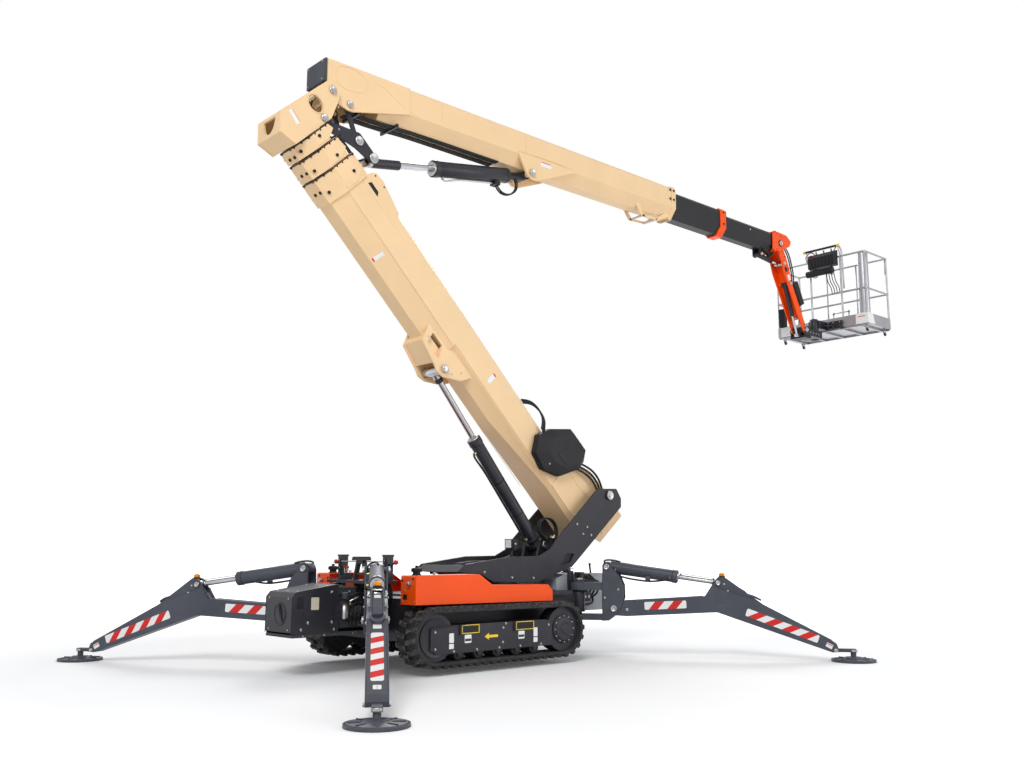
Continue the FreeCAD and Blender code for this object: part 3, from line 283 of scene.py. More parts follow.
class Piece:
    """A mesh piece made of simple solids in a local frame, with several materials.

    Each y that a method is given, of points and axes alike, is multiplied by side.
    """

    def __init__(self, name, place, *materials, side=1):
        self.name = name
        self.place = place
        self.materials = materials
        self.side = side
        self.bm = bmesh.new()

    def both(self):
        """Do what follows as it is given, and then mirrored."""
        for self.side in (1, -1):
            yield self.side
        self.side = 1

    def at(self, point):
        return Vector((point[0], point[1] * self.side, point[2]))

    def _faces(self, verts, faces, index):
        made = [self.bm.verts.new(v) for v in verts]
        for face in faces:
            self.bm.faces.new([made[i] for i in face]).material_index = index

    def _ring(self, at, side, other, radius, count):
        turns = [2 * math.pi * k / count for k in range(count)]
        return [self.bm.verts.new(at + (side * math.cos(t) + other * math.sin(t)) * radius) for t in turns]

    def _skin(self, rings, index=0, smooth=True, closed=False):
        """Faces from ring to ring of vertices, and a cap at each end unless they close."""
        for low, high in zip(rings, rings[1:] + rings[:1] if closed else rings[1:]):
            for k in range(len(low)):
                after = (k + 1) % len(low)
                face = self.bm.faces.new((low[k], low[after], high[after], high[k]))
                face.material_index = index
                face.smooth = smooth
        if not closed:
            for ring in (rings[0][::-1], rings[-1]):
                self.bm.faces.new(ring).material_index = index

    def _turn(self, start, axis, profile, sides, index):
        side = axis.orthogonal().normalized()
        other = axis.cross(side)
        self._skin([self._ring(start + axis * along, side, other, max(radius, 0.0001), sides)
                    for along, radius in profile], index)

    def _bolt(self, at, axis, radius, high, index):
        self._turn(at, axis, ((0, radius * 1.25), (high * 0.3, radius * 1.25)), 16, index)
        self._turn(at + axis * high * 0.3, axis, ((0, radius), (high * 0.8, radius), (high, radius * 0.8)), 6, index)

    def box(self, low, high, index=0):
        """A box between two opposite corners."""
        (x0, x1), (y0, y1), (z0, z1) = (sorted(pair) for pair in zip(self.at(low), self.at(high)))
        verts = [(x, y, z) for z in (z0, z1) for x, y in ((x0, y0), (x1, y0), (x1, y1), (x0, y1))]
        self._faces(verts, ((3, 2, 1, 0), (4, 5, 6, 7), (0, 1, 5, 4), (1, 2, 6, 5), (2, 3, 7, 6), (3, 0, 4, 7)), index)

    def prism(self, plane, points, low, high, index=0):
        """An outline in one plane, between two places on the third axis."""
        side, count = self.side, len(points)
        if plane == "XZ":
            verts = [(a, y, b) for y in sorted((low * side, high * side)) for a, b in points]
        elif plane == "XY":
            verts = [(a, b * side, z) for z in (low, high) for a, b in points]
        else:
            verts = [(x, a * side, b) for x in (low, high) for a, b in points]
        faces = [range(count), range(2 * count - 1, count - 1, -1)]
        faces += [(i + count, (i + 1) % count + count, (i + 1) % count, i) for i in range(count)]
        self._faces(verts, faces, index)
        return self

    def lathe(self, start, axis, profile, sides=28, index=0):
        """A turned form: profile gives (distance along the axis, radius)."""
        self._turn(self.at(start), self.at(axis).normalized(), profile, sides, index)

    def rod(self, start, end, radius, index=0, sides=20):
        start, end = self.at(start), self.at(end)
        self._turn(start, (end - start).normalized(), ((0, radius), ((end - start).length, radius)), sides, index)

    def rods(self, points, radius, index=0, sides=20):
        """Straight runs from point to point."""
        for start, end in zip(points, points[1:]):
            self.rod(start, end, radius, index, sides)

    def bolt(self, at, axis, radius=0.012, high=0.01, index=0):
        """A washer with a hexagon head on it."""
        self._bolt(self.at(at), self.at(axis).normalized(), radius, high, index)

    def bolts(self, points, axis, radius=0.012, high=0.01, index=0):
        for at in points:
            self.bolt(at, axis, radius, high, index)

    def pin(self, at, axis, radius, index=0, high=0.018):
        """A pin's end plate with a dished middle and a keeper bolt."""
        at, axis = self.at(at), self.at(axis).normalized()
        self._turn(at, axis, ((-0.002, radius), (high * 0.7, radius), (high, radius * 0.86),
                              (high * 0.75, radius * 0.55), (high * 0.75, 0)), 32, index)
        side = axis.orthogonal().normalized()
        self._bolt(at + side * radius * 0.3 + axis * high * 0.7, axis, radius * 0.16, 0.008, index)

    def tube(self, points, radius, index=0, sides=12, steps=8):
        """A bent pipe through the given points, on a smooth line."""
        points = [self.at(p) for p in points]
        ends = [points[0] * 2 - points[1]] + points + [points[-1] * 2 - points[-2]]
        line = []
        for a, b, c, e in zip(ends, ends[1:], ends[2:], ends[3:]):
            for k in range(steps):
                s = k / steps
                line.append(0.5 * (2 * b + (c - a) * s + (2 * a - 5 * b + 4 * c - e) * s * s
                                   + (3 * b - a - 3 * c + e) * s * s * s))
        line.append(points[-1])
        side = (line[1] - line[0]).orthogonal().normalized()
        rings = []
        for k, at in enumerate(line):
            ahead = (line[min(k + 1, len(line) - 1)] - line[max(k - 1, 0)]).normalized()
            side = (side - ahead * side.dot(ahead)).normalized()
            rings.append(self._ring(at, side, ahead.cross(side), radius, sides))
        self._skin(rings, index)

    def mesh(self, name):
        """The finished mesh."""
        bmesh.ops.recalc_face_normals(self.bm, faces=self.bm.faces)
        mesh = bpy.data.meshes.new(name)
        self.bm.to_mesh(mesh)
        self.bm.free()
        return mesh

    def done(self, body, bevel=0.0, segments=2, stands_for=()):
        mesh = self.mesh(self.name)
        item = add_object(self.name, mesh)
        for material in self.materials:
            mesh.materials.append(mat[material])
        item.matrix_world = self.place
        if bevel:
            add_bevel(item, bevel, segments, 40).harden_normals = True
        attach(item, body)
        if stands_for:
            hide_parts(*stands_for)


def panel_frame(place, at, along, face):
    """A local frame with X along a surface and Z out of it."""
    along, face = Vector(along).normalized(), Vector(face).normalized()
    turn = Matrix((along, face.cross(along), face)).transposed().to_4x4()
    return place @ Matrix.Translation(at) @ turn


def clipped(length, height, cut):
    """A rectangle with its corners cut off, about the origin."""
    x, y = length / 2, height / 2
    return ((-x + cut, -y), (x - cut, -y), (x, -y + cut), (x, y - cut), (x - cut, y), (-x + cut, y),
            (-x, y - cut), (-x, -y + cut))


def hazard(name, body, place, at, along, face, size, reds, lean=0.9):
    """Red and white slanted film; size is length and height, reds how many bands."""
    length, height = size
    piece = Piece(name, panel_frame(place, at, along, face), "white", "red")
    piece.prism("XY", clipped(length, height, height * 0.12), -0.0005, 0.001)
    pitch, shift = length / (reds + 0.25), height * lean / 2
    for k in range(reds):
        left = -length / 2 + pitch * (k + 0.4)
        right = left + pitch * 0.5
        outline = ((left - shift, -1), (right - shift, -1), (right + shift, 1), (left + shift, 1))
        piece.prism("XY", [(min(max(x, -length / 2), length / 2), y * height / 2) for x, y in outline],
                    0.0008, 0.0015, 1)
    piece.done(body)


def label(name, body, place, at, along, face, size, *stripes, base="white"):
    """A blank sticker; stripes are (material, low share, high share) across its height."""
    length, height = size
    piece = Piece(name, panel_frame(place, at, along, face), base, *[row[0] for row in stripes])
    piece.prism("XY", clipped(length, height, min(length, height) * 0.08), -0.0005, 0.001)
    for k, (_, low, high) in enumerate(stripes, start=1):
        piece.box((-length * 0.46, height * (low - 0.5), 0.0008), (length * 0.46, height * (high - 0.5), 0.0014), k)
    piece.done(body)


def pair(make, name, body, place, at, along, *rest, face=OUT, **more):
    """A film on the left and its twin on the right."""
    for side, sign in (("left", 1), ("right", -1)):
        make(f"{name}_{side}", body, place, (at[0], sign * at[1], at[2]), [sign * part for part in along],
             (face[0], sign * face[1], face[2]), *rest, **more)


def runner(base, axis, over):
    """What gives points by their distance along an axis, over it and sideways."""
    return lambda along, above=0.0, y=0.0: base + axis * along + over * above + Vector((0, y, 0))


# Outriggers: films, trim, beacon, cylinder fittings and pad.
LEG_KNEE, LEG_TIP = Vector((2.06, 0, 0.7)), Vector((3.01, 0, 0.205))
LEG_DOWN = (LEG_TIP - LEG_KNEE).normalized()
LEG_UP = Vector((-LEG_DOWN.z, 0, LEG_DOWN.x))
LIFT_BASE, LIFT_KNEE = Vector((0.36, 0, 1.07)), Vector((1.69, 0, 0.885))
LIFT_AXIS = (LIFT_KNEE - LIFT_BASE).normalized()
LIFT_OVER = Vector((-LIFT_AXIS.z, 0, LIFT_AXIS.x))
shin, lift = runner(LEG_KNEE, LEG_DOWN, LEG_UP), runner(LIFT_BASE, LIFT_AXIS, LIFT_OVER)
lift_end = runner(LIFT_KNEE, -LIFT_AXIS, LIFT_OVER)


def dress_leg(corner, place):
    leg = f"leg_{corner}"
    pair(hazard, f"{leg}_film_outer", leg, place, (2.41, 0.0925, 0.4), (-0.82, 0, 0.306), (0.86, 0.09), 4, 1.1)
    pair(hazard, f"{leg}_film_inner", leg, place, (1.06, 0.0925, 0.618), (-1, 0, -0.05), (0.5, 0.092), 2)
    pair(label, f"{leg}_label", leg, place, (2.93, 0.0925, 0.18), (-0.95, 0, 0.495), (0.075, 0.05),
         ("red", 0.66, 0.84))
    hazard(f"{leg}_film_top", leg, place, shin(0.565), LEG_DOWN, LEG_UP, (0.68, 0.105), 4, -0.35)
    label(f"{leg}_label_top", leg, place, shin(0.13), LEG_DOWN, LEG_UP, (0.062, 0.075))
    label(f"{leg}_number", leg, place, shin(0.985), LEG_DOWN, LEG_UP, (0.055, 0.066), ("beige", 0.44, 0.56))
    label(f"{leg}_label_block", leg, place, (1.85, 0, 0.8735), (0.89, 0, -0.456), (0.456, 0, 0.89), (0.052, 0.058))

    trim = Piece(f"{leg}_trim", place, "slate", "zinc", "black")
    for _ in trim.both():
        trim.tube([shin(far, 0.002, 0.087) for far in (0.02, 0.5, 1.03)], 0.006, 0, 8, 2)
        trim.tube(xz(0.087, (0.56, 0.662), (1, 0.69), (1.5, 0.723)), 0.005, 0, 8, 2)
        trim.tube(xz(0.088, (1.61, 0.54), (1.64, 0.68), (1.61, 0.84)), 0.004, 0, 8, 4)
        trim.bolts(xz(0.062, (1.76, 0.87), (1.8, 0.79), (1.64, 0.78)), OUT, 0.01, 0.009, 1)
        trim.bolt((3, 0.0925, 0.128), OUT, 0.018, 0.012, 1)
        trim.bolt((0.6, 0.0925, 0.56), OUT, 0.014, 0.01, 1)
    # Lock block and its grab loop on the knee's outer slope.
    trim.prism("XZ", ((1.785, 0.85), (1.8, 0.895), (1.9, 0.85), (2, 0.79), (2.055, 0.735), (2.04, 0.7)), -0.042, 0.042)
    loop = ((0.01, 0.026, -0.052), (0.09, 0.04, -0.058), (0.16, 0.042, -0.03), (0.17, 0.042, 0),
            (0.16, 0.042, 0.03), (0.09, 0.04, 0.058), (0.01, 0.026, 0.052))
    trim.tube([shin(a - 0.06, b, c) for a, b, c in loop], 0.012, 0, 10, 5)
    for _ in trim.both():
        trim.pin((1.69, 0.072, 0.885), OUT, 0.03, 1)
    trim.done(leg, 0.0015)

    beacon = Piece(f"{leg}_beacon", place, "amber", "black")
    beacon.box((1.7, -0.046, 0.94), (1.77, 0.046, 0.954), 1)
    beacon.lathe((1.735, 0, 0.952), UP, stub(0.04, 0.01, 0.012, 0.034), 28, 1)
    beacon.lathe((1.735, 0, 0.964), UP, ((0, 0.032), (0.01, 0.036), (0.026, 0.033), (0.036, 0.02), (0.039, 0)))
    beacon.done(leg, 0.001)

    pad = Piece(f"pad_{corner}_trim", place, "slate", "zinc", "ring")
    pad.lathe((3.2, 0, 0.024), UP, ((0, 0.232), (0.006, 0.226), (0.009, 0.12), (0.022, 0.096)), 48)
    pad.lathe((3.2, 0, 0.002), UP, ((0, 0.246), (0.004, 0.2498), (0.018, 0.2498), (0.024, 0.245), (0.026, 0.234)),
              56, 2)
    pad.lathe((3.2, 0, 0.104), UP, ((0, 0.044), (0.01, 0.048), (0.03, 0.044), (0.038, 0.018)), 28, 1)
    for k in range(8):
        rib = [(r, a + math.pi * k / 4) for r, a in ((0.085, -0.045), (0.215, -0.014), (0.215, 0.014), (0.085, 0.045))]
        pad.prism("XY", [(3.2 + r * math.cos(a), r * math.sin(a)) for r, a in rib], 0.024, 0.04)
    pad.done(leg, 0.001)


def dress_corner(corner):
    place = corner_frame(corner)
    dress_leg(corner, place)
    yoke, barrel, rod = f"yoke_{corner}", f"lift_barrel_{corner}", f"lift_rod_{corner}"
    swivel = Piece(f"{yoke}_trim", place, "zinc", "slate")
    for _ in swivel.both():
        swivel.pin((0.36, 0.124, 1.07), OUT, 0.034)
        swivel.pin((0.44, 0.124, 0.575), OUT, 0.038)
        swivel.bolts(xz(0.116, (0.335, 0.7), (0.5, 0.8)), OUT, 0.01, 0.009)
        swivel.tube(xz(0.116, (0.312, 0.48), (0.312, 0.78), (0.322, 1.05)), 0.005, 1, 8, 4)
    swivel.lathe((0, 0, 0.88), UP, stub(0.066, 0.014, 0.018, 0.058), 32, 1)
    swivel.pin((0, 0, 0.914), UP, 0.05)
    swivel.done(yoke, 0.001)

    tube = Piece(f"{barrel}_trim", place, "slate", "zinc", "hose", "brass")
    tube.lathe(lift(0.858), LIFT_AXIS, ((0, 0.066), (0.01, 0.066), (0.014, 0.05), (0.014, 0.03)), 36, 1)
    tube.lathe(lift(0.79), LIFT_AXIS, ((0, 0.0745), (0.004, 0.0785), (0.008, 0.0745)), 36)
    side = Vector((0, -0.098, -0.026))
    for along in (0.1, 0.76):
        tube.rod(lift(along) + side * 0.7, lift(along) + side, 0.013, 3, 12)
    for line, radius in ((((0.76, -0.098, -0.026), (0.7, -0.108, -0.06), (0.52, -0.092, -0.1), (0.3, -0.09, -0.104),
                           (0.14, -0.086, -0.094), (0.04, -0.082, -0.13)), 0.011),
                         (((0.1, -0.098, -0.026), (0.03, -0.1, 0.01), (-0.03, -0.07, 0.055), (0, -0.02, 0.08),
                           (0.08, 0.01, 0.086), (0.16, 0.016, 0.078)), 0.01)):
        tube.tube([lift(a) + Vector((0, b, c)) for a, b, c in line], radius, 2)
    tube.box(lift(0.5) + Vector((-0.03, -0.084, -0.092)), lift(0.5) + Vector((0.03, -0.06, -0.04)))
    tube.done(barrel, 0.0008)
    for k, lean in enumerate((-0.288, 0.288)):
        face = (LIFT_OVER * 0.95 + Vector((0, lean, 0))).normalized()
        label(f"{barrel}_label_{k}", barrel, place, lift(0.828) + face * 0.0802, LIFT_AXIS, face, (0.04, 0.03))
    hazard(f"{rod}_band", rod, place, lift_end(0.24, 0.044), LIFT_AXIS, LIFT_OVER, (0.34, 0.03), 7)
    guard = Piece(f"{rod}_guard", place, "slate", "zinc")
    guard.prism("XY", ((0, -0.018), (0.42, -0.018), (0.42, 0.018), (0, 0.018)), 0, 0.004)
    for vert in guard.bm.verts:
        vert.co = lift_end(0.045 + vert.co.x, 0.0395 + vert.co.z, vert.co.y)
    for along in (0.055, 0.45):
        guard.rod(lift_end(along, 0.022), lift_end(along, 0.042), 0.01, 0, 12)
    guard.lathe(lift_end(0.052), -LIFT_AXIS, stub(0.034, 0.024, 0.03, 0.0285), 28, 1)
    guard.done(rod)


for corner in CORNERS:
    dress_corner(corner)


# Tracks: a belt with moulded edges and two staggered rows of slanted lugs.
TRACK_MID, TRACK_HALF = (TRACK_LOW + TRACK_TOP) / 2, (TRACK_TOP - TRACK_LOW) / 2
WHEEL_FRONT, WHEEL_REAR = TRACK_FRONT + TRACK_HALF, TRACK_REAR - TRACK_HALF
BELT_OUT, BELT_IN = TRACK_HALF - 0.028, TRACK_HALF - 0.066
TRACK_OUT, TRACK_WIDE = 1.055, 0.34
BELT_RUN, BELT_ARC = WHEEL_REAR - WHEEL_FRONT, math.pi * BELT_OUT
BELT_LONG = 2 * (BELT_RUN + BELT_ARC)
BELT_STEPS, LUG_PAIRS = 150, 50


def on_track(way, radius):
    """A point of the belt's way round, at a radius from the wheels' centres."""
    way %= BELT_LONG
    if way < BELT_RUN:
        return WHEEL_FRONT + way, TRACK_MID - radius
    if way < BELT_RUN + BELT_ARC:
        angle = (way - BELT_RUN) / BELT_OUT
        return WHEEL_REAR + radius * math.sin(angle), TRACK_MID - radius * math.cos(angle)
    if way < 2 * BELT_RUN + BELT_ARC:
        return WHEEL_REAR - (way - BELT_RUN - BELT_ARC), TRACK_MID + radius
    angle = (way - 2 * BELT_RUN - BELT_ARC) / BELT_OUT
    return WHEEL_FRONT - radius * math.sin(angle), TRACK_MID + radius * math.cos(angle)


def build_track(side, sign):
    piece = Piece(f"track_{side}_belt", WORLD, "track", "lug")

    def point(way, radius, inset):
        x, z = on_track(way, radius)
        return x, sign * (TRACK_OUT - inset), z

    section = ((0, BELT_OUT - 0.014), (0.006, BELT_OUT - 0.004), (0.016, BELT_OUT), (0.324, BELT_OUT),
               (0.334, BELT_OUT - 0.004), (TRACK_WIDE, BELT_OUT - 0.014), (TRACK_WIDE, BELT_IN + 0.012),
               (0.33, BELT_IN + 0.002), (0.01, BELT_IN + 0.002), (0, BELT_IN + 0.012))
    piece._skin([[piece.bm.verts.new(point(BELT_LONG * k / BELT_STEPS, radius, inset)) for inset, radius in section]
                 for k in range(BELT_STEPS)], closed=True)
    # Each lug leans forward from its near edge to its far edge, and its top is smaller.
    for k in range(LUG_PAIRS):
        for row, (near, far) in enumerate(((0.004, 0.158), (0.336, 0.182))):
            start = BELT_LONG * (k + 0.5 * row) / LUG_PAIRS
            way = 1 if near < far else -1
            verts = [point(start + lead + shift, radius, across)
                     for radius, half, ends in ((BELT_OUT - 0.003, 0.03, (near, far)),
                                                (TRACK_HALF - 0.0005, 0.021, (near + 0.006 * way, far + 0.004 * way)))
                     for across, lead in zip(ends, (0, 0.034)) for shift in (-half, half)]
            made = [piece.bm.verts.new(v) for v in verts]
            for number, corners in enumerate(BLOCK):
                piece.bm.faces.new([made[i] for i in corners]).material_index = 1 if number in (1, 4, 5) else 0
    # Guide horns along the middle of the inner face.
    for k in range(LUG_PAIRS):
        piece._faces([point(BELT_LONG * (k + 0.25) / LUG_PAIRS + shift, radius, TRACK_WIDE / 2 - across * sign)
                      for radius, half, wide in ((BELT_IN + 0.004, 0.02, 0.02), (BELT_IN - 0.006, 0.014, 0.012))
                      for across in (-wide, wide) for shift in (-half, half)], BLOCK, 0)
    piece.done("chassis", 0.0025, 2, (f"track_{side}",))


def dress_track(side, sign):
    face, out = sign * 1.01, (0, sign, 0)
    name = f"track_{side}"
    trim = Piece(f"{name}_trim", WORLD, "coal", "black", "zinc", "yellow", "chrome", side=sign)
    for x0, x1 in ((-1.145, -0.905), (-0.375, -0.105)):
        low, high = 0.408, 0.494
        trim.box((x0, 1.01, low), (x1, 1.012, high), 1)
        for a, b, c, e in ((x0, x1, high - 0.006, high + 0.002), (x0, x1, low - 0.002, low + 0.006),
                           (x0, x0 + 0.009, low, high), (x1 - 0.009, x1, low, high)):
            trim.box((a, 1.01, c), (b, 1.014, e), 3)
        trim.box((x0 - 0.035, 1.01, 0.395), (x0 - 0.012, 1.028, 0.498))
    trim.bolts(xz(1.01, (-1.254, 0.236), (-0.941, 0.236), (-0.625, 0.236), (-0.316, 0.236), (-0.002, 0.236),
                  (-0.567, 0.442), (-0.573, 0.29), (-1.5, 0.44), (-1.5, 0.27), (0.12, 0.44), (-0.53, 0.485)),
               OUT, 0.011, 0.01, 2)
    trim.tube(xz(1.01, (-1.555, 0.3), (-1.552, 0.44), (-1.5, 0.488), (-1.1, 0.496)), 0.005, 0, 8, 4)
    # Rollers with flanges, drive motor hub and idler.
    for k in range(5):
        x = WHEEL_FRONT + 0.33 + 0.27 * k
        for y in (0.96, 0.86):
            trim.lathe((x, y, 0.202), OUT, ((0, 0.064), (0.018, 0.07), (0.022, 0.056)), 28, 1)
        trim.lathe((x, 0.98, 0.202), OUT, ((0, 0.034), (0.016, 0.03), (0.02, 0)), 24)
    hub = ((-0.06, 0.162), (-0.008, 0.162), (0, 0.152), (0.006, 0.136), (0.018, 0.13), (0.021, 0.118),
           (0.019, 0.06), (0.027, 0.052), (0.029, 0))
    trim.lathe((WHEEL_REAR, 1.01, TRACK_MID), OUT, hub, 48)
    for k in range(12):
        angle = math.pi * k / 6
        trim.bolt((WHEEL_REAR + 0.146 * math.cos(angle), 1.014, TRACK_MID + 0.146 * math.sin(angle)), OUT,
                  0.0075, 0.008, 2)
    for k in range(3):
        angle = math.pi * (2 * k + 1) / 3
        trim.bolt((WHEEL_REAR + 0.08 * math.cos(angle), 1.028, TRACK_MID + 0.08 * math.sin(angle)), OUT, 0.01, 0.007)
    idler = ((0, 0.196), (0.012, 0.196), (0.004, 0.15), (0.004, 0.07), (0.018, 0.062), (0.02, 0))
    trim.lathe((WHEEL_FRONT, 0.99, TRACK_MID), OUT, idler, 48)
    for x, z in ring_points(18, (WHEEL_REAR, TRACK_MID), (0.205, 0.205)):
        trim.rod((x, 0.93, z), (x, 0.96, z), 0.013, 1, 8)
    trim.done("chassis", 0.0012)
    for k, x in enumerate((-1.06, -0.294)):
        label(f"{name}_plate_{k}", "chassis", WORLD, (x, face, 0.352), (-sign, 0, 0), out, (0.092, 0.084),
              ("coal", 0.22, 0.52))
    for k, x in enumerate((-1.284, -0.08)):
        label(f"{name}_tall_{k}", "chassis", WORLD, (x, face, 0.372), (-sign, 0, 0), out, (0.062, 0.096))
        label(f"{name}_low_{k}", "chassis", WORLD, (x, face, 0.288), (-sign, 0, 0), out, (0.062, 0.052))
    arrow = Piece(f"{name}_arrow", panel_frame(WORLD, (-0.735, face, 0.362), (-sign, 0, 0), out), "yellow")
    arrow.prism("XY", [(sign * x, y) for x, y in ((0.095, 0), (0.035, 0.036), (0.035, 0.014), (-0.095, 0.014),
                                                  (-0.095, -0.014), (0.035, -0.014), (0.035, -0.036))], -0.0005, 0.0012)
    arrow.done("chassis")


for side, sign in (("near", -1), ("far", 1)):
    build_track(side, sign)
    dress_track(side, sign)


# Main boom: head, collars, bracket, labels.
def cut_copy(node, *cutters):
    """The node's own solid with openings cut through it; each cutter is a Piece in its own frame."""
    source = frame["nodes"][node]
    item = add_object(f"{node}_open", source.data.copy())
    item.matrix_world = source.matrix_world
    add_weld(item)
    tools = []
    for cutter in cutters:
        tool = add_object("cutter", cutter.mesh("cutter"))
        tool.matrix_world = cutter.place
        tools.append(tool)
        carve = item.modifiers.new("carve", "BOOLEAN")
        carve.operation = "DIFFERENCE"
        carve.solver = "EXACT"
        carve.object = tool
    bpy.context.view_layer.update()
    depsgraph = bpy.context.evaluated_depsgraph_get()
    result = bpy.data.meshes.new_from_object(item.evaluated_get(depsgraph))
    item.modifiers.clear()
    item.data = result
    for tool in tools:
        bpy.data.objects.remove(tool)
    result.materials.clear()
    result.materials.append(mat[SLOTS[slot_of[node]]])
    for polygon in result.polygons:
        polygon.material_index = 0
    add_bevel(item, 0.003, 2, 32)
    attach(item, body_of[node])
    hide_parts(node)


def main_at(u, n, y=0.0):
    """A point of the main boom's frame from its distance along and its height off the axis."""
    return Vector((-u, y, n))


def main_line(y, *points):
    return [main_at(u, n, y) for u, n in points]


oval = Piece("cutter", MAIN).prism("XZ", ring_points(28, (-6.07, -0.3), (0.105, 0.082)), -0.3, 0.3)
web_place = panel_frame(MAIN, main_at(6.045, -0.905), (-0.17, 0, 0.165), (-0.165, 0, -0.17))
mouth = Piece("cutter", web_place).prism("XY", [
    (0.205 - 0.165 * math.sin(math.pi * k / 14), 0.128 * math.cos(math.pi * k / 14)) for k in range(15)], -0.06, 0.06)
cut_copy("boom_head", oval, mouth)
cut_copy("boom_section_1", *[Piece("cutter", MAIN, side=sign).prism(
    "XZ", ((-3.235, -0.7), (-3.205, -0.845), (-3.02, -0.875), (-2.96, -0.84), (-3.04, -0.7)), 0.15, 0.23)
    for sign in (1, -1)])


def dress_head(body):
    trim = Piece("head_trim", MAIN, "zinc", "cream", "hose", "brass", "black")
    for _ in trim.both():
        trim.pin(main_at(6.08, 0, 0.262), OUT, 0.044)
        trim.pin(main_at(5.894, -0.314, 0.262), OUT, 0.042)
        trim.bolts(main_line(0.25, (5.9, -0.06), (6.13, 0.045), (5.96, 0.02)), OUT, 0.008, 0.007, 1)
        # Rim of the oval hole and the folded edge strips of the side plates.
        rim = ring_points(40, (-6.07, -0.3), (0.118, 0.095))
        inner = ring_points(40, (-6.07, -0.3), (0.106, 0.083))
        for k in range(40):
            after = (k + 1) % 40
            trim.prism("XZ", (rim[k], rim[after], inner[after], inner[k]), 0.249, 0.256, 1)
        trim.rods(main_line(0.236, (5.85, -0.832), (6.045, -0.905), (6.213, -0.742), (6.188, 0.058)), 0.006, 1, 10)
    for y in (-0.15, 0.15):
        trim.rod(main_at(6.02, -0.3, y), main_at(6.14, -0.3, y * 0.6), 0.022, 4, 16)
    for y in (-0.13, -0.075, -0.02, 0.04):
        trim.tube([main_at(5.9, -0.42, y), main_at(6.02, -0.33, y), main_at(6.11, -0.19, y * 0.8),
                   main_at(6.12, 0.01, y)], 0.012, 2, 10, 6)
        trim.rod(main_at(6.106, -0.215, y * 0.84), main_at(6.116, -0.15, y * 0.82), 0.016, 3, 12)
    trim.done(body, 0.0008)
    pair(label, "head_label", body, MAIN, main_at(6.085, -0.64, 0.2505), (-0.98, 0, 0.1), (0.17, 0.052),
         ("red", 0.9, 1))


dress_head(body_of["boom_head"])

COLLARS = (
    # name, node, ring start, ring end, half width, bolts on the side, along the slope, on the belly
    ("collar_1", "boom_section_1", 5.12, 5.42, 0.266, (5.256, -0.4), 5.225, (5.27, -0.055)),
    ("collar_2", "boom_section_2", 5.432, 5.66, 0.264, (5.5, -0.47), 5.5, (5.52, -0.05)),
    ("collar_3", "boom_section_3", 5.675, 5.835, 0.264, (5.775, -0.525), 5.75, (5.73, -0.04)),
)
SLOPE_OUT = Vector((0, 0.2, -0.145)).normalized()


def dress_collar(name, node, start, end, wide, side, slope, belly):
    trim = Piece(f"{name}_trim", MAIN, "black", "cream", "zinc")
    for sign in trim.both():
        for at, axis in ((main_at(*side, wide), OUT), (main_at(slope, -0.766, 0.1585), SLOPE_OUT),
                         (main_at(belly[0], -0.82, 0.05 + sign * belly[1]), DOWN)):
            trim.lathe(at, axis, stub(0.032, 0.005, 0.008, 0.028), 28, 1)
            trim.lathe(at + Vector(axis) * 0.006, axis,
                       ((0, 0.019), (0.012, 0.019), (0.015, 0.015), (0.01, 0.01), (0.01, 0)), 20)
        # Doubler plate on the side and its welded outline.
        trim.prism("XZ", ((-start - 0.02, -0.6), (-end + 0.01, -0.6), (-end + 0.01, -0.33), (-start - 0.08, -0.3),
                          (-start - 0.02, -0.42)), wide - 0.002, wide + 0.005, 1)
        # Black wear strip along the mouth: side, slope and belly.
        for a, b in (((wide - 0.004, -0.26), (wide - 0.004, -0.622)), ((wide - 0.004, -0.62), (0.119, -0.816)),
                     ((0.12, -0.816), (0, -0.816))):
            first, last = (trim.at(main_at(end - 0.004, n, y)) for y, n in (a, b))
            outward = (last - first).normalized().cross(Vector((1, 0, 0)))
            if outward.dot(first + last) < 0:
                outward.negate()
            trim._faces([along + outward * depth - Vector((step, 0, 0)) for along in (first, last)
                         for depth in (-0.012, 0.0085) for step in (-0.01, 0.004)], BLOCK, 0)
            count = max(1, int((last - first).length / 0.045))
            for k in range(0, count, 2):
                spot = first + (last - first) * ((k + 0.5) / count)
                trim._turn(spot + Vector((0.012, 0, 0)), outward, stub(0.011, 0.011, 0.013, 0.008), 10, 0)
    trim.done(body_of[node], 0.0015)


for row in COLLARS:
    dress_collar(*row)


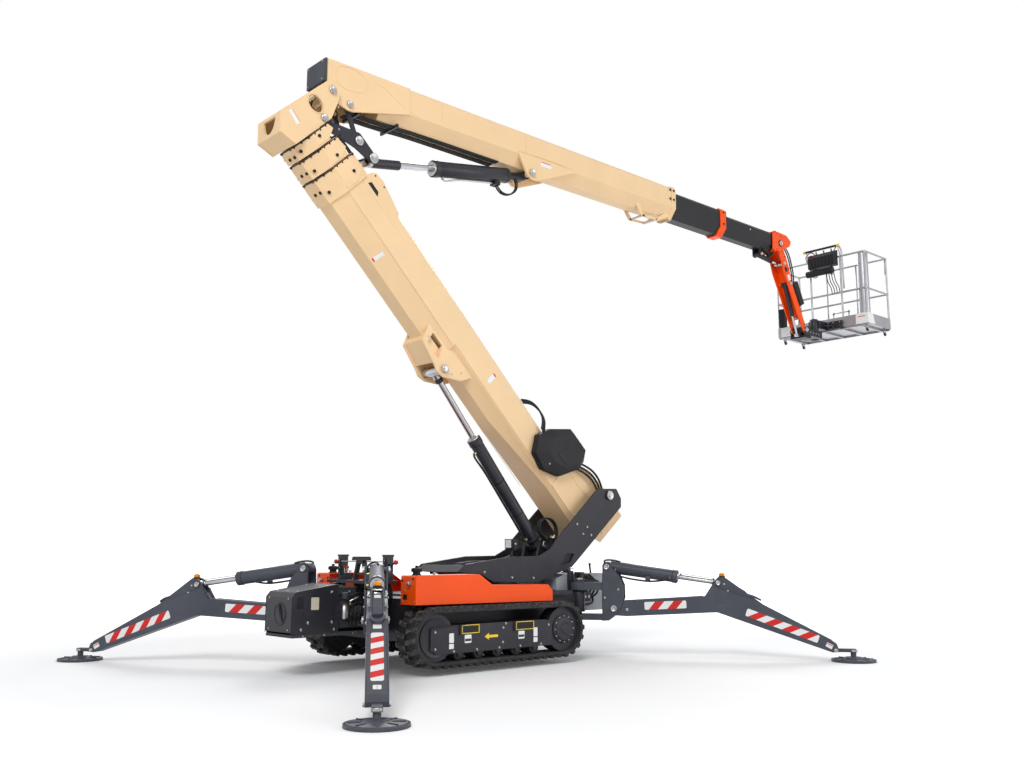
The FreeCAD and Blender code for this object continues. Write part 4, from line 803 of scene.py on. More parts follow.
def dress_boom(body):
    trim = Piece("boom_trim", MAIN, "cream", "zinc", "coal", "black")
    for _ in trim.both():
        # Long weld seams, the tail plate's edge, and the bracket's flange and lugs.
        trim.tube(main_line(0.2505, (0.75, -0.605), (2.9, -0.605), (5.1, -0.605)), 0.003, 0, 6, 2)
        trim.prism("XZ", ((-0.64, -0.215), (-0.43, 0.02), (-0.07, 0.105), (-0.07, -0.18), (-0.4, -0.215)),
                   0.258, 0.262)
        trim.pin(main_at(2.82, -0.874, 0.222), OUT, 0.048, 1)
        trim.pin(main_at(0, 0, 0.381), OUT, 0.062, 1)
        trim.rods(main_line(0.186, (3.33, -0.66), (3.245, -0.884), (2.95, -0.934), (2.85, -0.964), (2.758, -0.934),
                            (2.56, -0.764), (2.482, -0.6)), 0.0145, 0, 10)
        trim.bolts(main_line(0.2, (3.24, -0.78), (2.7, -0.82), (2.62, -0.7)), OUT, 0.009, 0.008, 1)
        # Lug with its window behind the first collar.
        trim.prism("XZ", ((-5.115, -0.35), (-5.12, -0.2), (-5.08, -0.13), (-4.96, -0.11), (-4.56, -0.184),
                          (-4.48, -0.35)), 0.236, 0.252)
        trim.prism("XZ", ((-5.053, -0.311), (-5.033, -0.259), (-4.899, -0.258), (-4.863, -0.309)), 0.25, 0.253, 3)
        trim.bolts(main_line(0.252, (5.06, -0.165), (4.9, -0.15)), OUT, 0.008, 0.007, 3)
    trim.done(body, 0.0015)
    pair(label, "boom_label_high", body, MAIN, main_at(4.33, -0.719, 0.1712), (-1, 0, 0), (0.052, 0.15),
         ("red", 0, 0.12), face=SLOPE_OUT)
    pair(label, "boom_label_low", body, MAIN, main_at(2.3, -0.4, 0.2505), (-1, 0, 0), (0.06, 0.15), ("red", 0.86, 1))


dress_boom(body_of["boom_section_1"])


# Engine hood, engine bay, covers and control posts.
def dress_hood(body):
    trim = Piece("hood_trim", WORLD, "coal", "zinc", "black", "cap")
    # Dished round louvre with its slanted blade.
    trim.lathe((-2.735, -0.03, 0.632), AHEAD,
               ((-0.003, 0.118), (0.006, 0.116), (0.008, 0.108), (-0.006, 0.096), (-0.008, 0)), 48)
    trim.prism("YZ", ((-0.105, 0.672), (-0.03, 0.73), (0.03, 0.7), (-0.045, 0.6)), -2.736, -2.731, 2)
    trim.tube(((-2.741, -0.018, 0.735), (-2.748, -0.045, 0.64), (-2.741, -0.085, 0.56)), 0.008, 0, 8, 6)
    for y, z in ((-0.19, 0.79), (0.19, 0.79), (-0.19, 0.48), (0.19, 0.48)):
        trim.lathe((-2.735, y, z), AHEAD, stub(0.01, 0.003, 0.004, 0.006), 14, 1)
    for sign in trim.both():
        for at in xz(0.262, (-2.271, 0.845), (-2.544, 0.546), (-2.261, 0.542), (-2.622, 0.481), (-2.234, 0.471)):
            trim.lathe(at, OUT, ((0, 0.016), (0.004, 0.016), (0.009, 0.008), (0.01, 0)), 18, 1)
        # Shallow pressed panel and the fine mesh near the front edge.
        trim.prism("XZ", ((-2.6, 0.5), (-2.6, 0.78), (-2.25, 0.82), (-2.25, 0.5)), 0.262, 0.2655)
        for k in range(7):
            for j in range(9):
                x, y, z = -2.68 + 0.011 * k, 0.26175 + 0.00025 * sign, 0.69 + 0.013 * j
                trim.box((x, y, z), (x + 0.006, y + 0.004, z + 0.008), 2)
        trim.rods(xz(0.26, (-2.735, 0.44), (-2.735, 0.8), (-2.69, 0.85), (-2.19, 0.922), (-2.19, 0.44)), 0.0042, 0, 8)
    for x in (-2.64, -2.3):
        for y in (-0.2, 0, 0.2):
            trim.lathe((x, y, 0.85 + (x + 2.69) * 0.144), (-0.143, 0, 0.99), stub(0.012, 0.004, 0.006, 0.006), 14, 1)
    trim.done(body, 0.001)
    pair(label, "hood_plate", body, WORLD, (-2.47, 0.2657, 0.735), (-1, 0, 0), (0.092, 0.125), base="beige")


def dress_bay(body):
    """Engine parts behind the hood: canister, pipes, hoses, pulleys and ribs."""
    bay = Piece("engine_bay", WORLD, "iron", "zinc", "hose", "cap", "brass", "chrome")
    for _ in bay.both():
        bay.lathe((-2.075, 0.205, 0.56), UP, ((0, 0.036), (0.006, 0.05), (0.12, 0.052), (0.128, 0.046),
                                              (0.15, 0.046), (0.156, 0.02)), 32, 1)
        bay.lathe((-2.075, 0.205, 0.77), UP, ((0, 0.04), (0.06, 0.042), (0.066, 0.03)), 28, 3)
        bay.lathe((-1.92, 0.206, 0.64), OUT, ((0, 0.075), (0.012, 0.078), (0.018, 0.06), (0.03, 0.058),
                                              (0.034, 0.02), (0.04, 0)), 36)
        bay.lathe((-1.805, 0.206, 0.56), OUT, stub(0.052, 0.022, 0.026, 0.03), 32)
        for k in range(5):
            bay.box((-2.06 + 0.045 * k, 0.195, 0.48), (-2.045 + 0.045 * k, 0.225, 0.54))
        for z, reach, index in ((0.79, 0.05, 2), (0.74, 0.062, 5), (0.69, 0.04, 2)):
            bay.tube(((-2.02, 0.21, z), (-1.96, 0.233, z + 0.028), (-1.88, 0.225, z + reach - 0.02),
                      (-1.8, 0.21, z - 0.02), (-1.76, 0.185, z - 0.07)), 0.012, index, 12, 6)
        for k, x in enumerate((-2.005, -1.955, -1.9, -1.85)):
            bay.tube(((x, 0.205, 0.735 - 0.02 * k), (x + 0.012, 0.235, 0.66), (x - 0.01, 0.237, 0.58),
                      (x + 0.015, 0.215, 0.5)), 0.0095, 2, 10, 6)
            bay.rod((x, 0.203, 0.742 - 0.02 * k), (x, 0.205, 0.705 - 0.02 * k), 0.014, 4, 10)
        bay.bolts(xz(0.206, (-1.99, 0.6), (-1.945, 0.76), (-1.84, 0.7), (-1.78, 0.65), (-2.02, 0.84), (-1.72, 0.76)),
                  OUT, 0.011, 0.01, 1)
        bay.lathe((-1.8, 0.206, 0.8), OUT, ((0, 0.046), (0.005, 0.05), (0.012, 0.046), (-0.02, 0.036), (-0.02, 0)), 32)
        bay.rod((-2.15, 0.18, 0.56), (-1.8, 0.215, 0.47), 0.017, 0, 14)
    for k in range(6):
        x = -2.14 + 0.045 * k
        bay.box((x, -0.165, 0.872), (x + 0.012, 0.165, 0.89))
    bay.lathe((-1.95, 0.08, 0.88), UP, ((0, 0.03), (0.012, 0.034), (0.02, 0.028)), 24, 3)
    bay.box((-2.715, -0.258, 0.428), (-1.7, -0.246, 0.44))
    bay.box((-2.715, 0.246, 0.428), (-1.7, 0.258, 0.44))
    for _ in bay.both():
        bay.bolts(xz(0.2622, (-2.6, 0.417), (-2.35, 0.417), (-2, 0.417), (-1.76, 0.417)), OUT, 0.008, 0.007, 1)
    bay.done(body, 0.001)


def dress_cover(side, sign):
    trim = Piece(f"cover_{side}_trim", WORLD, "orange", "zinc", "plastic", "brass", "black", side=sign)
    trim.lathe((-1.71, 0.85, 0.93), AHEAD,
               ((0, 0.026), (0.01, 0.026), (0.014, 0.02), (0.03, 0.022), (0.036, 0.018), (0.038, 0)), 28, 1)
    for y, z in ((0.72, 0.96), (0.72, 0.75), (0.92, 0.75), (0.9, 0.98), (0.76, 0.855)):
        trim.bolt((-1.71, y, z), AHEAD, 0.009, 0.008, 4 if z > 0.9 else 1)
    trim.box((-1.716, 0.74, 0.77), (-1.709, 0.8, 0.82), 4)
    # Filler neck with a knurled cap and its chain lug, then a small breather.
    trim.lathe((-1.59, 0.8, 1.012), UP, ((0, 0.052), (0.01, 0.052), (0.014, 0.04), (0.034, 0.04)), 32, 2)
    trim.lathe((-1.59, 0.8, 1.046), UP, ((0, 0.05), (0.006, 0.054), (0.038, 0.052), (0.046, 0.04), (0.048, 0)), 24, 2)
    for x, y in ring_points(10, (-1.59, sign * 0.8), (0.051, 0.051)):
        trim.rod((x, sign * y, 1.052), (x, sign * y, 1.084), 0.007, 2, 8)
    trim.lathe((-1.59, 0.8, 1.094), UP, ((0, 0.016), (0.014, 0.018), (0.02, 0.01)), 16, 2)
    trim.rod((-1.36, 0.8, 1.012), (-1.36, 0.8, 1.04), 0.012, 1, 14)
    trim.rod((-1.36, 0.8, 1.03), (-1.33, 0.8, 1.03), 0.008, 1, 10)
    # Rolled edges of the cover's outline.
    trim.rods(xz(0.947, (-1.708, 0.72), (-1.708, 1), (-1.695, 1.012), (-0.85, 1.012), (-0.656, 0.89), (0.18, 0.882),
                 (0.25, 0.812), (0.25, 0.704)), 0.003, 0, 8)
    for x in (-1.6, -1, -0.4, 0.2):
        trim.lathe((x, 0.95, 0.735), OUT, stub(0.008, 0.003, 0.004, 0.004), 12)
    trim.done(body_of[f"side_cover_{side}"], 0.001)


def dress_posts(body):
    posts = Piece("post_trim", WORLD, "coal", "zinc", "black", "ball", "chrome", "hose")
    for _ in posts.both():
        posts.box((-1.74, 0.387, 1.205), (-1.648, 0.479, 1.224))
        posts.box((-1.742, 0.411, 1), (-1.732, 0.455, 1.18), 2)
        posts.bolts(xz(0.433, (-1.734, 1.015), (-1.734, 1.08), (-1.734, 1.165)), AHEAD, 0.008, 0.007, 1)
        posts.lathe((-1.694, 0.549, 1.144), OUT,
                    [(0.026 * (1 - math.cos(math.pi * k / 8)), max(0.0005, 0.026 * math.sin(math.pi * k / 8)))
                     for k in range(9)], 22, 3)
        posts.lathe((-1.694, 0.474, 1.108), (0, 1, 0.3), ((0, 0.022), (0.016, 0.018), (0.02, 0.012)), 18, 2)
        # Valve body and small levers beside each post.
        posts.box((-1.735, 0.303, 0.95), (-1.655, 0.387, 1.02), 2)
        for k in range(3):
            x = -1.722 + 0.027 * k
            posts.rod((x, 0.345, 1.018), (x - 0.004, 0.355, 1.078), 0.0045, 4, 8)
            posts.lathe((x - 0.004, 0.355, 1.076), UP, ((0, 0.007), (0.008, 0.011), (0.018, 0.008), (0.021, 0)), 14, 3)
        for k in range(4):
            x = -1.73 + 0.02 * k
            posts.tube(((x, 0.345, 0.952), (x, 0.395, 0.935), (x + 0.01, 0.44, 0.9), (x + 0.02, 0.455, 0.82),
                        (x + 0.03, 0.44, 0.7)), 0.008, 5, 8, 5)
    # Boom rest: top saddle pads, legs' feet and the thin rod across.
    posts.box((-1.79, -0.1, 1.189), (-1.69, 0.1, 1.202), 2)
    for _ in posts.both():
        posts.box((-1.78, 0.087, 0.948), (-1.7, 0.147, 0.96))
        posts.bolts(xz(0.117, (-1.77, 0.96), (-1.712, 0.96)), UP, 0.007, 0.007, 1)
    posts.rod((-1.74, -0.393, 1.15), (-1.74, -0.045, 1.15), 0.006, 4, 10)
    posts.rod((-1.74, 0.045, 1.15), (-1.74, 0.393, 1.15), 0.006, 4, 10)
    posts.prism("YZ", ((-0.06, 1.01), (-0.052, 1.03), (0.052, 1.03), (0.06, 1.01)), -1.76, -1.72)
    for _ in posts.both():
        posts.bolts(((-1.64, 0.25, 0.95), (-1.64, 0.455, 0.95)), UP, 0.008, 0.008, 1)
    posts.done(body, 0.0012)


dress_hood(body_of["engine_hood"])
dress_bay(body_of["engine_block"])
dress_cover("near", -1)
dress_cover("far", 1)
dress_posts(body_of["control_posts"])


# Turret, work light, luff cylinder, hose housing.
def dress_turret(body):
    trim = Piece("turret_trim", WORLD, "coal", "zinc", "black", "hose", "brass", "ball")
    for _ in trim.both():
        trim.bolts(xz(0.42, (1.215, 1.596), (1.398, 1.561), (1.323, 1.472), (1.47, 1.46), (1.678, 1.488),
                      (-0.33, 1.02), (0.1, 0.95), (0.45, 0.94)), OUT, 0.012, 0.01, 1)
        trim.pin((1.82, 0.438, 1.976), OUT, 0.06, 1)
        trim.pin((0.898, 0.165, 1.334), OUT, 0.05, 1)
        trim.rods(xz(0.408, (-0.7, 1.028), (-0.608, 1.098), (0.074, 1.183), (0.563, 1.189), (0.749, 1.273),
                     (0.849, 1.382), (1.614, 2.044), (1.972, 2.058), (2.056, 1.938)), 0.0125, 0, 10)
        # Inner stiffener rails and the hoses clipped along them.
        trim.rods(xz(0.3, (-0.56, 1.06), (0.08, 1.12), (0.56, 1.12), (0.74, 1.2)), 0.02, 0, 10)
        trim.box((-0.56, 0.292, 0.99), (0.56, 0.308, 1.118))
        for k in range(3):
            y = 0.235 - 0.03 * k
            trim.tube(((-0.42, y, 1.05 + 0.012 * k), (0.02, y, 1.105), (0.4, y, 1.1), (0.64, y - 0.02, 1.07)),
                      0.011, 3, 10, 5)
        trim.rods(xz(0.4205, (1.016, 1.228), (1.163, 1.228), (1.093, 1.118), (0.924, 1.088), (1.016, 1.228)),
                  0.004, 0, 8)
    trim.box((0.88, -0.394, 1.04), (1.18, 0.394, 1.048), 2)
    trim.prism("XZ", ((0.885, 1.06), (0.905, 1.29), (1.19, 1.29), (1.17, 1.06)), -0.3, 0.3, 2)
    for k in range(10):
        angle = 2 * math.pi * k / 10 + 0.2
        trim.bolt((0.3 * math.cos(angle), 0.3 * math.sin(angle), 0.93), UP, 0.014, 0.014, 1)
    trim.lathe((0, 0, 0.925), UP, ((0, 0.15), (0.06, 0.15), (0.07, 0.13), (0.11, 0.09), (0.112, 0)), 40)
    trim.lathe((0.3, 0.25, 0.925), UP, ((0, 0.07), (0.14, 0.07), (0.146, 0.05), (0.18, 0.046)), 28, 2)
    # Valve block with its red plug beside the luff cylinder's eyes.
    trim.box((0.93, -0.26, 1.29), (1.13, -0.17, 1.42), 2)
    for x in (0.96, 1.02, 1.08):
        trim.rod((x, -0.215, 1.42), (x, -0.215, 1.45), 0.015, 4, 12)
    trim.lathe((1.08, -0.262, 1.37), (0, -1, 0), stub(0.024, 0.016, 0.022, 0.016), 18, 5)
    trim.done(body, 0.0012)

    lamp = Piece("lamp_trim", WORLD, "plastic", "lens", "zinc", "chrome")
    for low, high, index in (((0.052, -0.462, 1.298), (0.062, -0.358, 1.392), 3),
                             ((0.049, -0.454, 1.306), (0.056, -0.366, 1.384), 1),
                             ((0.05, -0.47, 1.29), (0.066, -0.462, 1.4), 0),
                             ((0.05, -0.358, 1.29), (0.066, -0.35, 1.4), 0),
                             ((0.05, -0.47, 1.392), (0.066, -0.35, 1.4), 0),
                             ((0.05, -0.47, 1.29), (0.066, -0.35, 1.298), 0)):
        lamp.box(low, high, index)
    for k in range(6):
        lamp.box((0.15, -0.462, 1.302 + 0.016 * k), (0.168, -0.358, 1.308 + 0.016 * k))
    for y, sign in ((-0.4715, -1), (-0.3485, 1)):
        low, high = sorted((y, y + sign * 0.006))
        lamp.prism("XZ", ((0.085, 1.27), (0.085, 1.36), (0.12, 1.36), (0.125, 1.27)), low, high)
        lamp.bolt((0.103, y + sign * 0.006, 1.345), (0, sign, 0), 0.01, 0.008, 2)
    lamp.box((0.085, -0.4775, 1.268), (0.125, -0.3425, 1.276))
    lamp.done(body, 0.0012)


dress_turret(body_of["turret"])
LUFF_BASE = Vector((0.898, 0, 1.334))
LUFF_TOP = MAIN @ main_at(2.82, -0.874)
LUFF_AXIS = (LUFF_TOP - LUFF_BASE).normalized()
luff = runner(LUFF_BASE, LUFF_AXIS, Vector(OUT).cross(LUFF_AXIS))


def dress_luff():
    barrel = Piece("luff_barrel_trim", WORLD, "coal", "zinc", "hose", "brass", "black")
    barrel.lathe(luff(1.565), LUFF_AXIS, ((0, 0.081), (0.006, 0.088), (0.084, 0.088), (0.09, 0.083)), 44)
    barrel.lathe(luff(1.655), LUFF_AXIS, ((0, 0.074), (0.014, 0.072), (0.02, 0.05), (0.02, 0.04)), 40, 1)
    barrel.lathe(luff(0.085), LUFF_AXIS, ((0, 0.082), (0.006, 0.09), (0.03, 0.09), (0.036, 0.082)), 44)
    for along in (0.16, 1.5):
        barrel.rod(luff(along, -0.074), luff(along, -0.114), 0.019, 3, 14)
    barrel.tube([luff(*row) for row in (
        (1.5, -0.112), (1.44, -0.12, 0.01), (1.2, -0.1, 0.014), (0.7, -0.1, 0.014), (0.3, -0.102, 0.014),
        (0.2, -0.13, 0.01), (0.16, -0.114))], 0.013, 2, 12, 6)
    for along in (0.5, 1):
        barrel.lathe(luff(along), LUFF_AXIS, ((0, 0.0815), (0.018, 0.0815)), 44, 4)
    barrel.box(luff(0.13) + Vector((-0.045, -0.075, 0.07)), luff(0.13) + Vector((0.045, 0.055, 0.13)), 4)
    barrel.done(body_of["luff_barrel"], 0.001)
    rod = Piece("luff_rod_trim", WORLD, "coal", "zinc")
    rod.lathe(LUFF_TOP - LUFF_AXIS * 0.15, LUFF_AXIS, ((-0.012, 0.04), (0, 0.052), (0.03, 0.054), (0.05, 0.048)), 36)
    for sign in (-1, 1):
        rod.lathe(LUFF_TOP + Vector((0, sign * 0.153, 0)), (0, sign, 0), ((0, 0.06), (0.006, 0.058), (0.008, 0.04)),
                  32, 1)
    rod.done(body_of["luff_rod"], 0.001)


dress_luff()

# Painted shade: a thin black sheet on each turret side over the window, standing in for the shade inside the turret.
painted_shade_sheet = Piece("turret_window_painted_shade", WORLD, "black")
for low, high in ((-0.3985, -0.394), (0.394, 0.3985)):
    painted_shade_sheet.prism("XZ", ((1, 1.24), (1.185, 1.24), (1.105, 1.102), (0.905, 1.072)), low, high)
painted_shade_sheet.done(body_of["turret"])


def dress_housing(body):
    """The faceted hose housing, as two moulded halves with a seam, bevelled wide."""
    outline = ((-1.222, -0.55), (-1.345, -0.345), (-1.28, -0.15), (-1.035, 0.14), (-0.65, 0.155), (-0.57, 0.02),
               (-0.56, -0.11), (-0.725, -0.43), (-0.99, -0.59))
    middle = [sum(part) / len(outline) for part in zip(*outline)]
    piece = Piece("housing_shell", MAIN, "plastic", "cap", "zinc")
    rings = []
    for y, share, (u, n) in ((-0.259, 1, middle), (-0.3, 1, middle), (-0.303, 0.988, middle), (-0.3075, 0.988, middle),
                             (-0.3105, 1, middle), (-0.345, 0.985, middle), (-0.3915, 0.7, (-0.8, 0.02))):
        rings.append([piece.bm.verts.new((u + (x - u) * share, y, n + (z - n) * share)) for x, z in outline])
    piece._skin(rings, smooth=False)
    for at in xz(-0.366, (-1.16, -0.3), (-0.99, 0), (-0.7, 0.04), (-0.69, -0.22), (-0.98, -0.48)):
        piece.lathe(at, (0, -1, 0), ((-0.01, 0.013), (0.002, 0.013), (0.006, 0.008)), 14, 2)
    piece.prism("XZ", ((-1, -0.3), (-0.9, -0.08), (-0.72, -0.03), (-0.68, -0.14), (-0.8, -0.3)), -0.396, -0.39)
    piece.done(body, 0.01, 3, ("hose_housing",))


dress_housing(body_of["hose_housing"])


def dress_rear(body):
    """Tank seams and cap, valve block, hoses and the small upright behind the tracks."""
    trim = Piece("tank_trim", WORLD, "tank", "cap", "zinc", "black", "hose", "brass", "coal")
    for y in (-0.398, 0.398):
        trim.rods(xz(y, (0.862, 0.913), (1.02, 0.973), (1.878, 0.973), (1.878, 0.642), (1.7, 0.522)), 0.008, 0, 10)
    trim.lathe((1.6, 0.15, 0.972), UP,
               ((0, 0.07), (0.012, 0.07), (0.016, 0.056), (0.05, 0.054), (0.056, 0.04), (0.058, 0)), 32, 1)
    for _ in trim.both():
        trim.box((1.12, 0.4, 0.78), (1.42, 0.51, 0.9), 3)
        trim.box((1.15, 0.4, 0.64), (1.36, 0.51, 0.76), 6)
        trim.box((1.18, 0.4, 0.9), (1.24, 0.51, 1), 6)
        for k in range(4):
            x = 1.15 + 0.07 * k
            trim.rod((x, 0.455, 0.898), (x, 0.455, 0.93), 0.016, 5, 12)
            trim.tube(((x, 0.455, 0.928), (x + 0.02, 0.46, 0.965), (x + 0.1, 0.485, 0.96 - 0.02 * k),
                       (x + 0.16, 0.5, 0.86), (x + 0.13, 0.49, 0.74), (x + 0.05, 0.46, 0.68)), 0.0125, 4, 10, 6)
            trim.bolt((x, 0.51, 0.84), OUT, 0.012, 0.01, 2)
        for x in (1.18, 1.24, 1.3):
            trim.lathe((x, 0.51, 0.7), OUT, stub(0.02, 0.02, 0.026, 0.012), 16, 2)
        trim.tube(((1, 0.42, 0.7), (1.08, 0.47, 0.64), (1.22, 0.5, 0.6), (1.42, 0.47, 0.62), (1.48, 0.42, 0.7)),
                  0.014, 4, 10, 6)
        trim.rod((1.5, 0.38, 0.96), (1.47, 0.39, 1.075), 0.012, 3, 12)
        trim.lathe((1.47, 0.39, 1.07), UP, ((0, 0.013), (0.03, 0.017), (0.036, 0.01)), 14, 3)
        trim.box((1.05, 0.4, 0.74), (1.13, 0.43, 1.015), 6)
    trim.done(body, 0.0015)


dress_rear(body_of["rear_tank"])


# Second boom, elbow linkage and cylinder.
def dress_arm(body):
    trim = Piece("arm_trim", ARM, "cream", "zinc", "hose", "black", "coal", "brass")
    for _ in trim.both():
        trim.pin((0.26, 0.214, -0.071), OUT, 0.04, 1)
        trim.pin((3.101, 0.212, -0.142), OUT, 0.046, 1)
        trim.tube(xz(0.2055, (0.06, 0.25), (0.11, 0.345), (0.3, 0.365), (0.47, 0.3), (0.455, 0.15), (0.26, 0.095),
                     (0.11, 0.13), (0.06, 0.25)), 0.0042, 0, 8, 6)
        trim.tube(xz(0.2055, (0.58, 0.3), (0.74, 0.27), (0.87, 0.19), (1.02, 0.12)), 0.0042, 0, 8, 5)
        trim.tube(xz(0.1955, (1.1, 0.32), (1.1, 0.12), (1.24, 0.08)), 0.004, 0, 8, 4)
        trim.tube(xz(0.2005, (2.86, 0.098), (3.4, 0.112), (3.89, 0.098)), 0.004, 0, 8, 4)
        # Folded bracket under the far end.
        for outline in (((5.25, -0.01), (5.33, -0.11), (5.4, -0.188), (5.48, -0.188), (5.4, -0.09), (5.36, -0.01)),
                        ((5.4, -0.188), (5.74, -0.172), (5.76, -0.14), (5.43, -0.15)),
                        ((5.7, -0.172), (5.76, -0.172), (6.02, -0.06), (6.02, -0.02), (5.94, -0.01))):
            trim.prism("XZ", outline, 0.118, 0.132)
        for at in xz(0.207, (5.98, 0.34), (5.98, 0.2), (6.06, 0.34), (6.06, 0.2)):
            trim.lathe(at, OUT, stub(0.018, 0.01, 0.014, 0.012), 18, 3)
    trim.rod((5.44, -0.125, -0.165), (5.44, 0.125, -0.165), 0.016, 1, 14)
    trim.rod((5.72, -0.125, -0.158), (5.72, 0.125, -0.158), 0.014, 1, 14)
    for y in (-0.096, -0.064, -0.032, 0.032, 0.064, 0.096):
        trim.tube(xz(y, (0.33, -0.1), (0.56, -0.112), (0.9, -0.108), (1.3, -0.092), (2.6, -0.092)), 0.011, 2, 10, 5)
    for x in (0.42, 0.95):
        trim.box((x - 0.012, -0.175, -0.128), (x + 0.012, 0.175, -0.086), 4)
    for x in (6.035, 6.075):
        trim.box((x - 0.006, -0.1, -0.096), (x + 0.006, 0.1, -0.088), 3)
    for x in (1.6, 3, 4.4):
        trim.tube(xz(-0.196, (x, 0.355), (x, 0.12)), 0.0022, 0, 6, 2)
    trim.done(body, 0.0012)
    pair(label, "arm_label", body, ARM, (3.36, 0.2008, 0.03), (-1, 0, 0), (0.19, 0.062), ("red", 0.84, 1))

    cap = Piece("arm_cap_trim", ARM, "coal", "zinc", "brass", "black")
    for y in (-0.15, 0.15):
        cap.bolts(((-0.0755, y, 0.15), (-0.0755, y, 0.36)), AHEAD, 0.01, 0.008, 1)
    for k in range(4):
        y = -0.12 + 0.06 * k
        cap.rod((-0.05, y, 0.122), (-0.05, y, 0.086), 0.014, 1, 12)
        cap.lathe((-0.05, y, 0.092), DOWN, stub(0.019, 0.012, 0.014, 0.01), 6, 2)
    cap.box((-0.072, -0.16, 0.106), (-0.04, 0.16, 0.122), 3)
    cap.done(body_of["arm_end_cap"], 0.0012)

    ring = Piece("arm_ring_trim", ARM, "black", "orange", "zinc")
    for _ in ring.both():
        for z in (0.3, 0.11):
            ring.lathe((7.345, 0.187, z), OUT, stub(0.018, 0.01, 0.014, 0.012), 18)
            ring.lathe((7.345, 0.1865, z), OUT, stub(0.028, 0.003, 0.004, 0.02), 22, 1)
        ring.box((7.412, 0.14, 0.08), (7.424, 0.188, 0.34))
    ring.box((7.3, -0.06, 0.3655), (7.39, 0.06, 0.38))
    ring.done(body_of["arm_middle_collar"], 0.0012)

    tip = Piece("arm_tip_trim", ARM, "black", "orange", "zinc", "hose", "plastic")
    for _ in tip.both():
        tip.pin((9.012, 0.162, 0.142), OUT, 0.046, 2)
        tip.lathe((9.012, 0.1525, 0.142), OUT, stub(0.07, 0.004, 0.005, 0.06), 36, 1)
        tip.bolts(xz(0.152, (8.9, 0.3), (8.9, 0.02), (9.04, 0.27)), OUT, 0.01, 0.009)
        tip.pin((8.545, 0.08, -0.115), OUT, 0.026, 2)
        tip.lathe((8.15, 0.1405, 0.21), OUT, stub(0.016, 0.004, 0.006, 0.008), 18, 2)
    tip.box((8.836, -0.15, 0.318), (8.852, 0.15, 0.328), 1)
    for low, high in ((-0.1575, -0.1515), (0.1515, 0.1575)):
        tip.prism("XZ", ((8.783, 0.276), (8.946, 0.333), (9.214, 0.322), (9.344, 0.24), (9.298, 0.145),
                         (9.001, -0.003), (8.773, -0.013)), low, high, 1)
    for y in (-0.1, -0.07, -0.04):
        tip.tube(xz(y, (8.56, -0.034), (8.7, -0.06), (8.8, -0.11), (8.84, -0.06), (8.846, -0.02)), 0.012, 3, 10, 6)
    tip.done(body_of["jib_fork"], 0.0012)


dress_arm(body_of["arm_outer"])
E_BASE = ARM @ Vector((3.101, 0, -0.142))
E_EYE = MAIN @ main_at(5.215, 0.019)
E_AXIS = (E_EYE - E_BASE).normalized()
elbow = runner(E_BASE, E_AXIS, Vector(OUT).cross(E_AXIS))


def dress_elbow():
    barrel = Piece("elbow_barrel_trim", WORLD, "coal", "zinc", "brass", "hose", "black")
    barrel.lathe(elbow(1.448), E_AXIS, ((0, 0.099), (0.006, 0.105), (0.074, 0.105), (0.08, 0.099)), 48)
    barrel.lathe(elbow(1.528), E_AXIS, ((0, 0.09), (0.016, 0.088), (0.022, 0.06), (0.022, 0.046)), 44, 1)
    barrel.lathe(elbow(0.29), E_AXIS, ((-0.07, 0.052), (-0.01, 0.096), (0, 0.1), (0.03, 0.1005)), 44)
    for along in (0.42, 1.38):
        barrel.rod(elbow(along, -0.09), elbow(along, -0.126), 0.019, 2, 14)
    barrel.tube([elbow(*row) for row in ((1.38, -0.126), (1.32, -0.14), (1.1, -0.114), (0.7, -0.114), (0.48, -0.116))],
                0.012, 1, 12, 5)
    barrel.box(elbow(0.48) + Vector((-0.04, -0.055, -0.15)), elbow(0.48) + Vector((0.04, 0.055, -0.096)), 4)
    barrel.done(body_of["elbow_barrel"], 0.001)
    rod = Piece("elbow_rod_trim", WORLD, "coal", "zinc")
    rod.lathe(E_EYE - E_AXIS * 0.48, E_AXIS, ((-0.01, 0.046), (0, 0.0575), (0.4, 0.0575), (0.404, 0.05)), 36)
    rod.done(body_of["elbow_rod"], 0.001)
    lever = Piece("lever_trim", MAIN, "zinc", "coal")
    for _ in lever.both():
        lever.pin(main_at(5.466, -0.018, 0.177), OUT, 0.056)
        lever.pin(main_at(5.215, 0.019, 0.177), OUT, 0.06)
        lever.bolt(main_at(5.7, -0.17, 0.172), OUT, 0.01, 0.009)
        lever.rods(main_line(0.161, (5.954, -0.324), (5.914, -0.256), (5.834, -0.224), (5.526, 0.052),
                             (5.426, 0.057), (5.165, 0.064)), 0.0115, 1, 8)
    lever.rod(main_at(5.64, -0.12, -0.15), main_at(5.64, -0.12, 0.15), 0.024, 1, 18)
    lever.done(body_of["elbow_lever"], 0.001)


dress_elbow()


